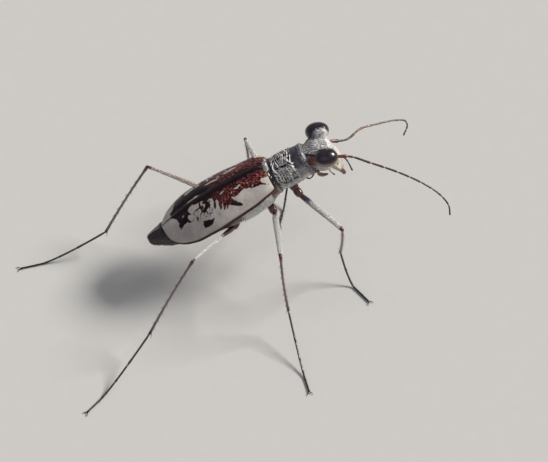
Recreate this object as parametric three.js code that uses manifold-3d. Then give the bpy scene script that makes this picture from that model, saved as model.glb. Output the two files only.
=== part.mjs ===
// Tiger beetle, life size, standing high on six long legs with the head raised.
// Millimetres. +X runs from tail to head, +Y is the beetle's left, +Z is up and the feet stand on z = 0.
import * as THREE from 'three';
import { mergeVertices } from 'three/addons/utils/BufferGeometryUtils.js';
import Module from 'manifold-3d';

const wasm = await Module();
wasm.setup();

// ---------------------------------------------------------------- driving dimensions
const SHIFT = [2.6317, 3.8012];         // from the working frame to the middle of the footprint
const GAP = 0.05;                    // thin cut between neighbouring pieces
const MIDLINE = -1.1;                // y of the plane of symmetry of the head, in the working frame

// trunk: u ahead, l to the left, w up, from the front end of the seam between the wing cases
const TRUNK = { at: [-0.64, MIDLINE, 6.82], pitch: 26, roll: -6.5 };

const ELYTRA = { length: 6.40, halfWidth: 1.70, depth: 1.12, arch: 0.67, peak: 0.28, fullness: 2.25, thick: 0.5 };
const ELYTRA_WIDTH = [[0, 0.52], [0.03, 0.66], [0.08, 0.77], [0.2, 0.86], [0.4, 0.95], [0.6, 1.0], [0.74, 0.975], [0.84, 0.87], [0.92, 0.69], [0.97, 0.49], [1, 0.26]];
const ELYTRA_DEPTH = [[0, 0.60], [0.1, 0.82], [0.3, 0.97], [0.5, 1.0], [0.7, 0.93], [0.85, 0.76], [1, 0.44]];

// under side of the trunk: lowest line and half width along u
const BELLY_W = [[-7.44, -1.28], [-7.0, -1.45], [-6.4, -1.62], [-5.2, -1.86], [-4, -2.02], [-3, -2.16], [-2, -2.2], [-1, -2.12], [-0.3, -1.95], [0.1, -1.7]];
const BELLY_HALF = [[-7.44, 0.2], [-7.0, 0.42], [-6.4, 0.68], [-5.6, 0.95], [-4.4, 1.26], [-3, 1.40], [-2, 1.42], [-1, 1.3], [-0.3, 1.02], [0.1, 0.8]];
const TAIL = -7.44;                  // end of the abdomen, behind the wing cases
const TAIL_TOP = [[-7.44, -0.84], [-7.0, -0.80], [-6.5, -0.80]];
const TRUNK_CUTS = [0.06, -1.25, -3.15, TAIL];     // mesothorax, metathorax, abdomen

const PROTHORAX = { rear: 0.13, front: 1.86, axis: -1.02, half: 0.88, height: 0.88 };
const PRO_HALF = [[0, 0.84], [0.09, 0.96], [0.18, 0.91], [0.5, 1.0], [0.78, 0.97], [0.86, 0.89], [0.93, 0.93], [1, 0.84]];

// head: x ahead, y left, z up, from the point midway between the eyes
const HEAD = { at: [2.15, MIDLINE, 7.40], eye: [0.60, 0.48, 0.51], eyeOut: 0.93 };

// legs: end of the hip at the body, end of the trochanter, knee, ankle and claw, and how a foot comes down to the floor
const LEGS = {
  front_right:  { coxa: [0.42, -1.52, 5.66], trochanter: [0.78, -2.20, 5.20], knee: [2.39, -4.60, 4.75], ankle: [2.58, -3.62, 1.80], foot: [3.57, -5.78, 0.08], fall: [0.55, 1.8] },
  front_left:   { coxa: [0.56, -0.78, 5.55], trochanter: [0.88, -0.43, 5.04], knee: [2.17, 1.48, 4.12], ankle: [1.25, 2.14, 0.95], foot: [0.33, 0.20, 0.08], fall: [0.6, 1.5] },
  middle_right: { coxa: [-0.90, -1.60, 5.00], trochanter: [-0.57, -2.42, 4.50], knee: [-1.05, -5.65, 4.80], ankle: [-0.85, -6.48, 1.55], foot: [-0.80, -10.73, 0.08], fall: [0.82, 1.3] },
  middle_left:  { coxa: [-0.80, -0.70, 4.85], trochanter: [-0.46, -0.10, 4.28], knee: [-0.83, 2.81, 4.30], ankle: [-0.54, 3.11, 1.30], foot: [-3.25, 1.49, 0.08], fall: [0.7, 1.3] },
  hind_right:   { coxa: [-2.10, -1.60, 4.30], trochanter: [-2.60, -2.25, 3.66], knee: [-5.40, -5.02, 5.00], ankle: [-7.95, -6.32, 1.60], foot: [-11.91, -9.31, 0.08], fall: [0.82, 1.3] },
  hind_left:    { coxa: [-2.05, -0.75, 4.15], trochanter: [-2.45, -0.16, 3.32], knee: [-6.10, 2.18, 4.30], ankle: [-8.65, 0.78, 1.50], foot: [-13.28, 0.61, 0.08], fall: [0.78, 1.3] },
};
const LEG_RADIUS = { coxa: [0.36, 0.27], femur: [0.30, 0.25], tibia: [0.25, 0.25], tarsus: [0.25, 0.25] };
const FOOT_AXIS = 0.20;              // height of the axis of a foot where it lies on the floor

// feelers, from socket to tip, and where each is parted
const ANTENNA_RADIUS = 0.25;
const ANTENNA_PARTS = [0, 0.17, 0.56, 1];
const ANTENNAE = {
  right: [[2.70, -1.64, 6.94], [3.53, -1.84, 6.92], [4.32, -2.21, 6.71], [5.80, -2.95, 6.29], [6.92, -3.57, 5.81], [7.62, -4.02, 5.31], [7.98, -4.36, 4.78], [8.00, -4.61, 4.28]],
  left: [[2.70, -0.52, 6.84], [3.71, -0.30, 6.49], [4.55, 0.26, 6.44], [5.48, 0.62, 6.15], [6.56, 1.00, 5.74], [7.17, 1.16, 5.36], [7.29, 1.15, 4.98], [7.12, 1.20, 4.20]],
};

// mouth, in the frame of the head, for the left side (the right one mirrored, or given on its own)
const MOUTH = {
  labrum: { top: [1.02, -1.42], tip: [1.30, -2.04], half: [0.50, 0.40], thick: 0.30 },
  mandible: { path: [[0.62, 0.52, -1.30], [1.02, 0.60, -1.88], [1.14, 0.44, -2.36], [1.04, 0.24, -2.62]], radius: [0.27, 0.16] },
  maxillary_left: { path: [[0.40, 0.46, -1.40], [0.86, 0.74, -1.72], [1.44, 0.62, -2.14], [1.80, 0.46, -3.00]], radius: [0.22, 0.22] },
  maxillary_right: { path: [[0.30, -0.44, -1.40], [-0.34, -0.44, -1.50], [-0.66, -0.45, -1.90], [-0.93, -0.32, -1.86]], radius: [0.22, 0.22] },
  labial: { path: [[0.30, 0.26, -1.45], [0.48, 0.30, -2.15], [0.62, 0.28, -2.70]], radius: [0.20, 0.22] },
};

// ---------------------------------------------------------------- helpers
const rad = (d) => d * Math.PI / 180;
const V = (a) => new THREE.Vector3(...a);
const lerp = THREE.MathUtils.lerp;

// smooth curve through a short table of [place, value] pairs, with no overshoot
function profile(table) {
  const x = table.map((p) => p[0]), y = table.map((p) => p[1]), n = x.length;
  const h = [], s = [], m = new Array(n).fill(0);
  for (let i = 0; i < n - 1; i++) { h.push(x[i + 1] - x[i]); s.push((y[i + 1] - y[i]) / h[i]); }
  for (let i = 1; i < n - 1; i++) if (s[i - 1] * s[i] > 0) {
    const a = 2 * h[i] + h[i - 1], b = h[i] + 2 * h[i - 1];
    m[i] = (a + b) / (a / s[i - 1] + b / s[i]);
  }
  m[0] = s[0]; m[n - 1] = s[n - 2];
  return (v) => {
    if (v <= x[0]) return y[0];
    if (v >= x[n - 1]) return y[n - 1];
    let i = 0;
    while (v > x[i + 1]) i++;
    const t = (v - x[i]) / h[i], t2 = t * t, t3 = t2 * t;
    return y[i] * (2 * t3 - 3 * t2 + 1) + h[i] * m[i] * (t3 - 2 * t2 + t) + y[i + 1] * (3 * t2 - 2 * t3) + h[i] * m[i + 1] * (t3 - t2);
  };
}

// moves every vertex of a ready geometry and closes its seams
function reshape(geometry, place) {
  const p = geometry.attributes.position, v = new THREE.Vector3();
  for (let i = 0; i < p.count; i++) {
    v.fromBufferAttribute(p, i);
    const q = place(v);
    p.setXYZ(i, q.x, q.y, q.z);
  }
  geometry.deleteAttribute('normal');
  geometry.deleteAttribute('uv');
  return mergeVertices(geometry, 1e-5);
}

const solid = (g) => new wasm.Manifold(new wasm.Mesh({
  numProp: 3, vertProperties: new Float32Array(g.attributes.position.array), triVerts: new Uint32Array(g.index.array),
}));

// the main body of a cut piece, without the crumbs that a cut can leave
function main(m) {
  const bodies = m.decompose();
  const size = (b) => { const q = b.boundingBox(); return (q.max[0] - q.min[0]) * (q.max[1] - q.min[1]) * (q.max[2] - q.min[2]); };
  return bodies.length ? bodies.reduce((a, b) => (size(b) > size(a) ? b : a)) : m;
}

function geometryOf(m) {
  const mesh = m.getMesh(), g = new THREE.BufferGeometry();
  g.setAttribute('position', new THREE.BufferAttribute(new Float32Array(mesh.vertProperties), 3));
  g.setIndex(new THREE.BufferAttribute(new Uint32Array(mesh.triVerts), 1));
  return g;
}

const lineThrough = (points) => points.length > 2
  ? new THREE.CatmullRomCurve3(points.map(V), false, 'centripetal')
  : new THREE.LineCurve3(V(points[0]), V(points[1]));

// a round limb along a curve, between two places on it, thinning from radius[0] to radius[1], its ends round or flat
function limb(curve, radius, { from = 0, to = 1, sides = 8, rows = 1, start = true, end = true, grow = 0, floor = null } = {}) {
  const r = (t) => lerp(radius[0], radius[1], t) + grow;
  const marks = [];
  if (start) marks.push([from, 0.40, -0.92], [from, 0.82, -0.57]);
  else marks.push([from, 1, -grow / r(from)]);
  for (let i = start ? 0 : 1; i <= (end ? rows : rows - 1); i++) marks.push([lerp(from, to, i / rows), 1, 0]);
  if (end) marks.push([to, 0.82, 0.57], [to, 0.40, 0.92]);
  else marks.push([to, 1, grow / r(to)]);
  const side = new THREE.Vector3(), first = curve.getTangentAt(from);
  side.crossVectors(first, Math.abs(first.z) < 0.8 ? new THREE.Vector3(0, 0, 1) : new THREE.Vector3(1, 0, 0)).normalize();
  const frames = marks.map(([t, k, past]) => {
    const T = curve.getTangentAt(t), C = curve.getPointAt(t).addScaledVector(T, past * r(t));
    side.addScaledVector(T, -side.dot(T)).normalize();
    return { C, N: side.clone(), B: new THREE.Vector3().crossVectors(T, side), r: r(t) * k };
  });
  return solid(reshape(new THREE.CylinderGeometry(1, 1, 1, sides, marks.length - 1), (v) => {
    const f = frames[Math.round((0.5 - v.y) * (marks.length - 1))];
    const q = f.C.clone().addScaledVector(f.N, v.x * f.r).addScaledVector(f.B, v.z * f.r);
    if (floor !== null) q.z = Math.max(q.z, floor);
    return q;
  }));
}

// an ellipsoid
const ball = (center, half, wide = 16, high = 10) => solid(reshape(new THREE.SphereGeometry(1, wide, high),
  (v) => new THREE.Vector3(center.x + v.x * half[0], center.y + v.y * half[1], center.z + v.z * half[2])));

// a closed form through a row of rings: ring(u, angle) gives the point, angle 0 on top and growing to the right
function loft(stations, sides, ring) {
  return solid(reshape(new THREE.CylinderGeometry(1, 1, 1, sides, stations.length - 1), (v) => {
    const u = stations[Math.round((0.5 - v.y) * (stations.length - 1))];
    if (Math.hypot(v.x, v.z) < 0.5) return ring(u, 0).add(ring(u, Math.PI)).multiplyScalar(0.5);
    return ring(u, Math.atan2(v.x, v.z));
  }));
}

// ---------------------------------------------------------------- frames
const trunkTurn = new THREE.Matrix4().makeRotationY(-rad(TRUNK.pitch)).multiply(new THREE.Matrix4().makeRotationX(rad(TRUNK.roll)));
trunkTurn.setPosition(...TRUNK.at);
const trunk = (u, l, w) => new THREE.Vector3(u, l, w).applyMatrix4(trunkTurn);
const onHead = (p) => new THREE.Vector3(HEAD.at[0] + p[0], HEAD.at[1] + p[1], HEAD.at[2] + p[2]);

// ---------------------------------------------------------------- wing cases
const widthAt = profile(ELYTRA_WIDTH), depthAt = profile(ELYTRA_DEPTH);
const rise = (t) => ELYTRA.arch * (1 - Math.abs((t - ELYTRA.peak) / (1 - ELYTRA.peak)) ** 2.3);
const crest = (t) => rise(t) - rise(0);
const shell = (t, inset) => {                        // half width, edge height and depth of the shell at t, or of its inner face
  let a = ELYTRA.halfWidth * widthAt(t), d = ELYTRA.depth * depthAt(t);
  const edge = crest(t) - d;
  if (inset) { a = a * a / (a + ELYTRA.thick); d = d * d / (d + ELYTRA.thick * 0.95); }
  return { a, d, edge };
};
const SHELL_T = [0, 0.03, 0.08, 0.16, 0.27, 0.40, 0.53, 0.66, 0.77, 0.85, 0.91, 0.96, 1];
function elytron(side) {
  const rows = SHELL_T.length - 1, across = 7, n = 2 / ELYTRA.fullness;
  return solid(reshape(new THREE.BoxGeometry(1, 1, 1, across, 1, rows), (v) => {
    const t = SHELL_T[Math.round((side < 0 ? v.z + 0.5 : 0.5 - v.z) * rows)];
    const { a, d, edge } = shell(t, v.y < 0), q = (v.x + 0.5) * Math.PI / 2;   // q 0 at the seam, a quarter turn at the edge
    return trunk(-t * ELYTRA.length, side * Math.max(a * Math.sin(q) ** n, 0.02), edge + d * Math.max(Math.cos(q), 0) ** n);
  }));
}

// ---------------------------------------------------------------- trunk under the wing cases
const bellyW = profile(BELLY_W), bellyHalf = profile(BELLY_HALF), tailTop = profile(TAIL_TOP);
function trunkRing(u, angle, grow) {
  const t = THREE.MathUtils.clamp(-u / ELYTRA.length, 0, 1), { a, d, edge } = shell(t, true);
  const past = THREE.MathUtils.smoothstep(-u, ELYTRA.length * 1.0, ELYTRA.length * 1.05);     // behind the wing cases
  const top = lerp(edge + d - GAP, tailTop(u), past), low = bellyW(u), half = bellyHalf(u);
  const side = angle < 0 ? 1 : -1, k = Math.abs(angle) / Math.PI, n = 2 / 2.2;
  if (k <= 0.5) {
    const q = k * Math.PI;
    return trunk(u, side * (lerp(a - GAP, half * 0.92, past) + grow) * Math.sin(q) ** n, edge + (top - edge + grow) * Math.max(Math.cos(q), 0) ** n);
  }
  const q = (k - 0.5) * Math.PI, lip = edge - GAP;
  return trunk(u, side * (half + grow) * Math.max(Math.cos(q), 0) ** 0.9, lip - (lip - low + grow) * Math.sin(q) ** 0.9);
}
function trunkPiece(from, to, grow = 0) {
  const rows = Math.max(3, Math.round((from - to) / 0.5));
  const u = Array.from({ length: rows + 1 }, (_, i) => lerp(from + grow, to - grow, i / rows));
  return loft(u, 18, (x, angle) => trunkRing(x, angle, grow));
}

// ---------------------------------------------------------------- prothorax
const proHalf = profile(PRO_HALF);
function prothorax(grow = 0) {
  const t = [1, 0.93, 0.86, 0.78, 0.5, 0.3, 0.18, 0.09, 0];
  return loft(t.map((k) => lerp(PROTHORAX.rear - grow, PROTHORAX.front + grow, k)), 18, (u, angle) => {
    const k = proHalf((u - PROTHORAX.rear) / (PROTHORAX.front - PROTHORAX.rear)), s = Math.sin(angle), c = Math.cos(angle), n = 2 / 2.15;
    return trunk(u, -Math.sign(s) * Math.abs(s) ** n * (PROTHORAX.half * k + grow), PROTHORAX.axis + Math.sign(c) * Math.abs(c) ** n * (PROTHORAX.height * k + grow));
  });
}

// ---------------------------------------------------------------- head and mouth
const eye = (side, grow = 0) => ball(onHead([0, side * HEAD.eyeOut, 0]), HEAD.eye.map((v) => v + grow), 14, 9);
function headForm(grow = 0) {
  const path = (points) => lineThrough(points.map((p) => onHead(p).toArray()));
  const crown = ball(onHead([-0.06, 0, -0.42]), [0.80 + grow, 0.98 + grow, 0.62 + grow], 16, 8);
  const face = limb(path([[0.20, 0, -0.50], [0.46, 0, -0.80], [0.66, 0, -1.12]]), [0.60, 0.46], { sides: 12, rows: 2, grow });
  const cheeks = ball(onHead([0.08, 0, -0.98]), [0.72 + grow, 0.80 + grow, 0.62 + grow], 14, 7);
  const neck = limb(path([[-1.1, 0, -0.82], [-0.3, 0, -0.62]]), [0.60, 0.74], { sides: 14, rows: 1, grow });
  return crown.add(face).add(cheeks).add(neck);
}
function labrum(grow = 0) {
  const { top, tip, half, thick } = MOUTH.labrum;
  return solid(reshape(new THREE.BoxGeometry(1, 1, 1, 1, 6, 3), (v) => {
    const k = 0.5 - v.z, out = new THREE.Vector2(0.91, 0.41), wave = 0.10 * Math.cos(2 * Math.PI * v.y);
    const bow = 1 - 1.6 * v.y * v.y;                 // the plate curves back at its sides
    const x = lerp(top[0], tip[0], k) + out.x * (v.x * (thick + 2 * grow)) - 0.16 * (1 - bow);
    const z = lerp(top[1] + grow, tip[1] - grow - 0.06 * wave, k) + out.y * (v.x * (thick + 2 * grow));
    return onHead([x, v.y * 2 * (lerp(half[0], half[1], k) + grow), z]);
  }));
}
const mouthLimb = (part, side, grow = 0) => limb(lineThrough(part.path.map((p) => onHead([p[0], side * p[1], p[2]]).toArray())), part.radius, { rows: 4, sides: 7, grow });

// ---------------------------------------------------------------- the model
const model = new THREE.Group();
const LOOK = {                        // colour, roughness, metalness
  shell: [0x4a3340, 0.35, 0.3], thorax: [0x6f6d74, 0.45, 0.4], head: [0x8b8a90, 0.4, 0.4], eye: [0x1d1822, 0.08, 0],
  ivory: [0xd8cfb8, 0.4, 0], dark: [0x2a1f24, 0.3, 0.2], leg: [0x7a6266, 0.5, 0.1], amber: [0x5b2a20, 0.3, 0], belly: [0x3a2a2e, 0.4, 0.2],
};
function add(name, form, look) {
  const [color, roughness, metalness] = LOOK[look];
  const mesh = new THREE.Mesh(geometryOf(main(form)), new THREE.MeshStandardMaterial({ color, roughness, metalness, name: look }));
  mesh.name = name;
  model.add(mesh);
}

add('elytron_right', elytron(-1), 'shell');
add('elytron_left', elytron(1), 'shell');
add('mesothorax', trunkPiece(TRUNK_CUTS[0], TRUNK_CUTS[1] + GAP), 'thorax');
add('metathorax', trunkPiece(TRUNK_CUTS[1], TRUNK_CUTS[2] + GAP), 'thorax');
add('abdomen', trunkPiece(TRUNK_CUTS[2], TRUNK_CUTS[3]), 'belly');
add('prothorax', prothorax(), 'thorax');
const proCut = prothorax(GAP);
const trunkCut = trunkPiece(TRUNK_CUTS[0], TRUNK_CUTS[3], GAP).add(proCut);

const eyesCut = eye(-1, GAP).add(eye(1, GAP));
add('head', headForm().subtract(eyesCut).subtract(proCut), 'head');
add('eye_right', eye(-1), 'eye');
add('eye_left', eye(1), 'eye');

let taken = headForm(GAP).add(eyesCut).add(proCut);  // space already filled round the mouth
function mouthPiece(name, form, look) {
  add(name, form(0).subtract(taken), look);
  taken = taken.add(form(GAP));
}
mouthPiece('labrum', labrum, 'ivory');
mouthPiece('mandible_right', (g) => mouthLimb(MOUTH.mandible, -1, g), 'ivory');
mouthPiece('mandible_left', (g) => mouthLimb(MOUTH.mandible, 1, g), 'ivory');
mouthPiece('maxillary_palp_right', (g) => mouthLimb(MOUTH.maxillary_right, 1, g), 'dark');
mouthPiece('maxillary_palp_left', (g) => mouthLimb(MOUTH.maxillary_left, 1, g), 'dark');
mouthPiece('labial_palp_right', (g) => mouthLimb(MOUTH.labial, -1, g), 'ivory');
mouthPiece('labial_palp_left', (g) => mouthLimb(MOUTH.labial, 1, g), 'ivory');

for (const [side, points] of Object.entries(ANTENNAE)) {
  const curve = lineThrough(points), long = curve.getLength(), radius = [ANTENNA_RADIUS, ANTENNA_RADIUS];
  ['base', 'middle', 'tip'].forEach((part, i) => {
    const form = limb(curve, radius, { from: ANTENNA_PARTS[i] + (i ? GAP / long : 0), to: ANTENNA_PARTS[i + 1], rows: [2, 3, 7][i], start: i === 0, end: i === 2 });
    add(`antenna_${side}_${part}`, i ? form : form.subtract(taken), part === 'base' ? 'amber' : 'dark');
  });
}

// ---------------------------------------------------------------- legs
for (const [name, L] of Object.entries(LEGS)) {
  const coxa = (grow) => limb(lineThrough([L.coxa, L.trochanter]), LEG_RADIUS.coxa, { grow });
  const femur = (grow) => limb(lineThrough([L.trochanter, L.knee]), LEG_RADIUS.femur, { grow });
  const tibia = (grow) => limb(lineThrough([L.knee, L.ankle]), LEG_RADIUS.tibia, { grow });
  const path = [0, 0.15, 0.3, 0.45, 0.6, 0.8, 1].map((t) => {
    const q = V(L.ankle).lerp(V(L.foot), t);
    q.z = Math.max(FOOT_AXIS, L.ankle[2] * Math.max(0, 1 - t / L.fall[0]) ** L.fall[1]);
    return q.toArray();
  });
  add('coxa_' + name, coxa(0).subtract(trunkCut), 'amber');
  add('femur_' + name, femur(0).subtract(coxa(GAP)).subtract(trunkCut), 'leg');
  add('tibia_' + name, tibia(0).subtract(femur(GAP)), 'leg');
  add('tarsus_' + name, limb(lineThrough(path), LEG_RADIUS.tarsus, { rows: 6, floor: 0 }).subtract(tibia(GAP)), 'dark');
}

model.position.set(SHIFT[0], SHIFT[1], 0);
model.updateMatrixWorld(true);
export default model;
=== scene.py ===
"""Tiger beetle: fine surface, markings, hair, floor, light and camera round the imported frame."""
import bpy, math
import numpy as np
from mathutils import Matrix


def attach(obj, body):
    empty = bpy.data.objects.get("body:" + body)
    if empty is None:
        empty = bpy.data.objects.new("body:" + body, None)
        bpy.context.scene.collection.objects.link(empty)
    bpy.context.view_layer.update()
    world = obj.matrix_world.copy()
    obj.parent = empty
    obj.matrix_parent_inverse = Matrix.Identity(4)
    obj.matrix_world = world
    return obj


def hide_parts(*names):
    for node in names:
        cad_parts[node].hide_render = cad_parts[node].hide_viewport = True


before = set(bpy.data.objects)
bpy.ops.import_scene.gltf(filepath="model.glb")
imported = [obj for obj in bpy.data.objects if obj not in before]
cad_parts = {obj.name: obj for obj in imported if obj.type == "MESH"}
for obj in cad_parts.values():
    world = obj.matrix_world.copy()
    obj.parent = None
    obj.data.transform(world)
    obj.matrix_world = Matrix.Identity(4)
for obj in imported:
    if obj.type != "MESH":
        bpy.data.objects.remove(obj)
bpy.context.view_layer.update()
SHIFT = np.array([2.6317, 3.8012, 0.0])      # mm, from the drawing's place to the row's origin
A = np.array
rng = np.random.default_rng(11)


# ------------------------------------------------------------ helpers
def unit(v):
    return v / np.maximum(np.linalg.norm(v, axis=-1, keepdims=True), 1e-12)


def smooth(a, b, x):
    t = np.clip((x - a) / (b - a), 0, 1)
    return t * t * (3 - 2 * t)


def profile(table):
    x = A([p[0] for p in table], float); y = A([p[1] for p in table], float); n = len(x)
    h = np.diff(x); s = np.diff(y) / h; m = np.zeros(n)
    for i in range(1, n - 1):
        if s[i - 1] * s[i] > 0:
            a = 2 * h[i] + h[i - 1]; b = h[i] + 2 * h[i - 1]
            m[i] = (a + b) / (a / s[i - 1] + b / s[i])
    m[0] = s[0]; m[-1] = s[-1]

    def f(v):
        v = np.clip(np.asarray(v, float), x[0], x[-1])
        i = np.clip(np.searchsorted(x, v, side="right") - 1, 0, n - 2)
        t = (v - x[i]) / h[i]; t2 = t * t; t3 = t2 * t
        return y[i] * (2 * t3 - 3 * t2 + 1) + h[i] * m[i] * (t3 - 2 * t2 + t) + y[i + 1] * (3 * t2 - 2 * t3) + h[i] * m[i + 1] * (t3 - t2)
    return f


def noise(P, seed=0):
    P = np.asarray(P, float)
    i = np.floor(P).astype(np.int64); f = P - i; f = f * f * f * (f * (f * 6 - 15) + 10)
    out = 0

    def h(a, b, c):
        n = (a * 73856093) ^ (b * 19349663) ^ (c * 83492791) ^ (seed * 1013904223)
        n = (n ^ (n >> 13)) & 0x7FFFFFFF
        n = (n * (n * n % 1000003 * 15731 + 789221) + 1376312589) & 0x7FFFFFFF
        return n / 0x3FFFFFFF - 1
    for dx in (0, 1):
        for dy in (0, 1):
            for dz in (0, 1):
                w = (f[..., 0] if dx else 1 - f[..., 0]) * (f[..., 1] if dy else 1 - f[..., 1]) * (f[..., 2] if dz else 1 - f[..., 2])
                out = out + w * h(i[..., 0] + dx, i[..., 1] + dy, i[..., 2] + dz)
    return out


class Form:
    """Gathers closed surfaces into one mesh: points in mm, faces, and float values at the points."""

    def __init__(self):
        self.V = []; self.Q = []; self.T = []; self.K = {}; self.n = 0; self.mi = []; self.mt = []

    def add(self, V, Q=None, T=None, mat=0, **k):
        V = np.asarray(V, float).reshape(-1, 3)
        if Q is not None and len(Q):
            self.Q.append(np.asarray(Q, np.int64) + self.n); self.mi.append(np.full(len(Q), mat))
        if T is not None and len(T):
            self.T.append(np.asarray(T, np.int64) + self.n); self.mt.append(np.full(len(T), mat))
        for name in set(self.K) | set(k):
            self.K.setdefault(name, [np.zeros(self.n)] if self.n else [])
            self.K[name].append(np.broadcast_to(np.asarray(k.get(name, 0.0), float), (len(V),)).copy())
        self.V.append(V); self.n += len(V)
        return self

    def grid(self, G, mat=0, wrap=True, caps=True, **k):
        """rows x columns x 3, columns going round (wrap), rows along; ends closed by a fan"""
        n, m = G.shape[:2]
        V = G.reshape(-1, 3)
        i, j = np.meshgrid(np.arange(n - 1), np.arange(m if wrap else m - 1), indexing="ij")
        j2 = (j + 1) % m
        Q = np.stack([i * m + j, i * m + j2, (i + 1) * m + j2, (i + 1) * m + j], -1).reshape(-1, 4)
        k = {a: np.broadcast_to(b, (n, m)).reshape(-1) for a, b in k.items()}
        T = None
        if caps:
            c = np.arange(m)
            V = np.vstack([V, G[0].mean(0), G[-1].mean(0)])
            k = {a: np.append(b, [b[:m].mean(), b[-m:].mean()]) for a, b in k.items()}
            T = np.vstack([np.stack([np.full(m, n * m), (c + 1) % m, c], -1),
                           np.stack([np.full(m, n * m + 1), (n - 1) * m + c, (n - 1) * m + (c + 1) % m], -1)])
        return self.add(V, Q, T, mat, **k)

    def limb(self, P, R, sides=14, flat=1.0, up=(0, 0, 1), round_ends=True, mat=0, **k):
        """a tube along points P with radii R; flat squeezes it along its own side"""
        P = np.asarray(P, float); R = np.broadcast_to(np.asarray(R, float), (len(P),)).copy()
        if round_ends:
            a = A([0.06, 0.42, 0.78]); off = A([0.95, 0.78, 0.42])
            d0 = unit(P[0] - P[1]); d1 = unit(P[-1] - P[-2])
            P = np.vstack([P[0] + d0 * (R[0] * off)[:, None], P, P[-1] + d1 * (R[-1] * off[::-1])[:, None]])
            k = {n: np.concatenate([[b[0]] * 3, b, [b[-1]] * 3]) if np.ndim(b) else b for n, b in k.items()}
            R = np.concatenate([R[0] * a, R, R[-1] * a[::-1]])
        T = unit(np.gradient(P, axis=0)); N = np.zeros_like(P); up = A(up, float)
        n = np.cross(T[0], up)
        if np.linalg.norm(n) < 1e-3: n = np.cross(T[0], A([1.0, 0.1, 0]))
        for i in range(len(P)):
            n = n - T[i] * n.dot(T[i]); n = n / np.linalg.norm(n); N[i] = n
        B = np.cross(T, N)
        th = np.arange(sides) * 2 * np.pi / sides
        G = P[:, None] + R[:, None, None] * (np.cos(th)[None, :, None] * N[:, None] * flat + np.sin(th)[None, :, None] * B[:, None])
        k = {a: (np.asarray(b)[:, None] if np.ndim(b) else b) for a, b in k.items()}
        k["top"] = np.cos(th)[None] * N[:, 2:3] + np.sin(th)[None] * B[:, 2:3]
        return self.grid(G, mat=mat, **k)

    def make(self, name, mats, slot, nodes=(), uv=None):
        V = (np.vstack(self.V) + SHIFT) / 1000.0
        Q = np.vstack(self.Q) if self.Q else np.zeros((0, 4), np.int64)
        T = np.vstack(self.T) if self.T else np.zeros((0, 3), np.int64)
        me = bpy.data.meshes.new(name)
        me.vertices.add(len(V)); me.vertices.foreach_set("co", V.ravel())
        me.loops.add(Q.size + T.size); me.loops.foreach_set("vertex_index", np.concatenate([Q.ravel(), T.ravel()]))
        me.polygons.add(len(Q) + len(T))
        me.polygons.foreach_set("loop_start", np.concatenate([np.arange(len(Q)) * 4, Q.size + np.arange(len(T)) * 3]))
        me.polygons.foreach_set("loop_total", np.concatenate([np.full(len(Q), 4), np.full(len(T), 3)]))
        me.polygons.foreach_set("material_index", np.concatenate(self.mi + self.mt).astype(int))
        me.polygons.foreach_set("use_smooth", np.ones(len(Q) + len(T), bool))
        for a, v in self.K.items():
            at = me.attributes.new(a, "FLOAT", "POINT"); at.data.foreach_set("value", np.concatenate(v))
        if uv is not None:
            lay = me.uv_layers.new(name="OFBake")
            lay.data.foreach_set("uv", uv[np.concatenate([Q.ravel(), T.ravel()])].ravel())
        me.update(calc_edges=True)
        me.validate()
        for m in (mats if isinstance(mats, (list, tuple)) else [mats]):
            me.materials.append(m)
        ob = bpy.data.objects.new(name, me); bpy.context.scene.collection.objects.link(ob)
        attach(ob, "root")
        if nodes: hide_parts(*nodes)
        return ob


def hair(name, root, normal, along, length, width, uvroot, mat, slot, lift=0.35, bend=0.35, spread=0.25, box=None):
    """thin closed tapered blades, three-sided, that lie along the body from their roots"""
    n = len(root); r = np.random.default_rng(abs(hash(len(name))) % 1000 + n)
    length = np.broadcast_to(length, (n,)) * r.uniform(0.7, 1.25, n); width = np.broadcast_to(width, (n,)) * r.uniform(0.75, 1.2, n)
    normal = unit(normal); along = unit(along - normal * (along * normal).sum(-1, keepdims=True))
    side = np.cross(normal, along)
    d = unit(along + side * r.normal(0, spread, (n, 1)) + normal * lift * r.uniform(0.5, 1.3, (n, 1)))
    side = unit(np.cross(normal, d)); up = np.cross(d, side)
    root = root - normal * 0.012
    mid = root + d * (length * 0.5)[:, None]
    tip = root + d * (length * 0.95)[:, None] - normal * (length * bend * lift)[:, None] + side * (length * r.normal(0, 0.10, n))[:, None]
    if box is not None:
        tip = np.minimum(np.maximum(tip, box[0]), box[1])
    th = A([0.5, 7 / 6, 11 / 6]) * math.pi
    ring = lambda c, w: c[:, None] + w[:, None, None] * (np.cos(th)[None, :, None] * side[:, None] + 0.6 * np.sin(th)[None, :, None] * up[:, None])
    V = np.concatenate([ring(root, width * 0.42), ring(mid, width * 0.5), tip[:, None]], 1)
    T = [[2, 1, 0]]
    for k in range(3):
        a, b = k, (k + 1) % 3
        T += [[a, b, b + 3], [a, b + 3, a + 3], [a + 3, b + 3, 6]]
    T = A(T)[None] + (np.arange(n) * 7)[:, None, None]
    local = A([[-.5, 0], [.5, 0], [0, 0], [-.4, .6], [.4, .6], [0, .6], [0, 1]]) * 0.003
    uv = np.clip(uvroot[:, None] + local[None], 0.0, 1.0).reshape(-1, 2)
    f = Form().add(V.reshape(-1, 3), None, T.reshape(-1, 3), tone=np.repeat(r.uniform(0, 1, n), 7), tipp=np.tile([0, 0, 0, .5, .5, .5, 1.0], n))
    return f.make(name, mat, slot, uv=uv)


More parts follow.
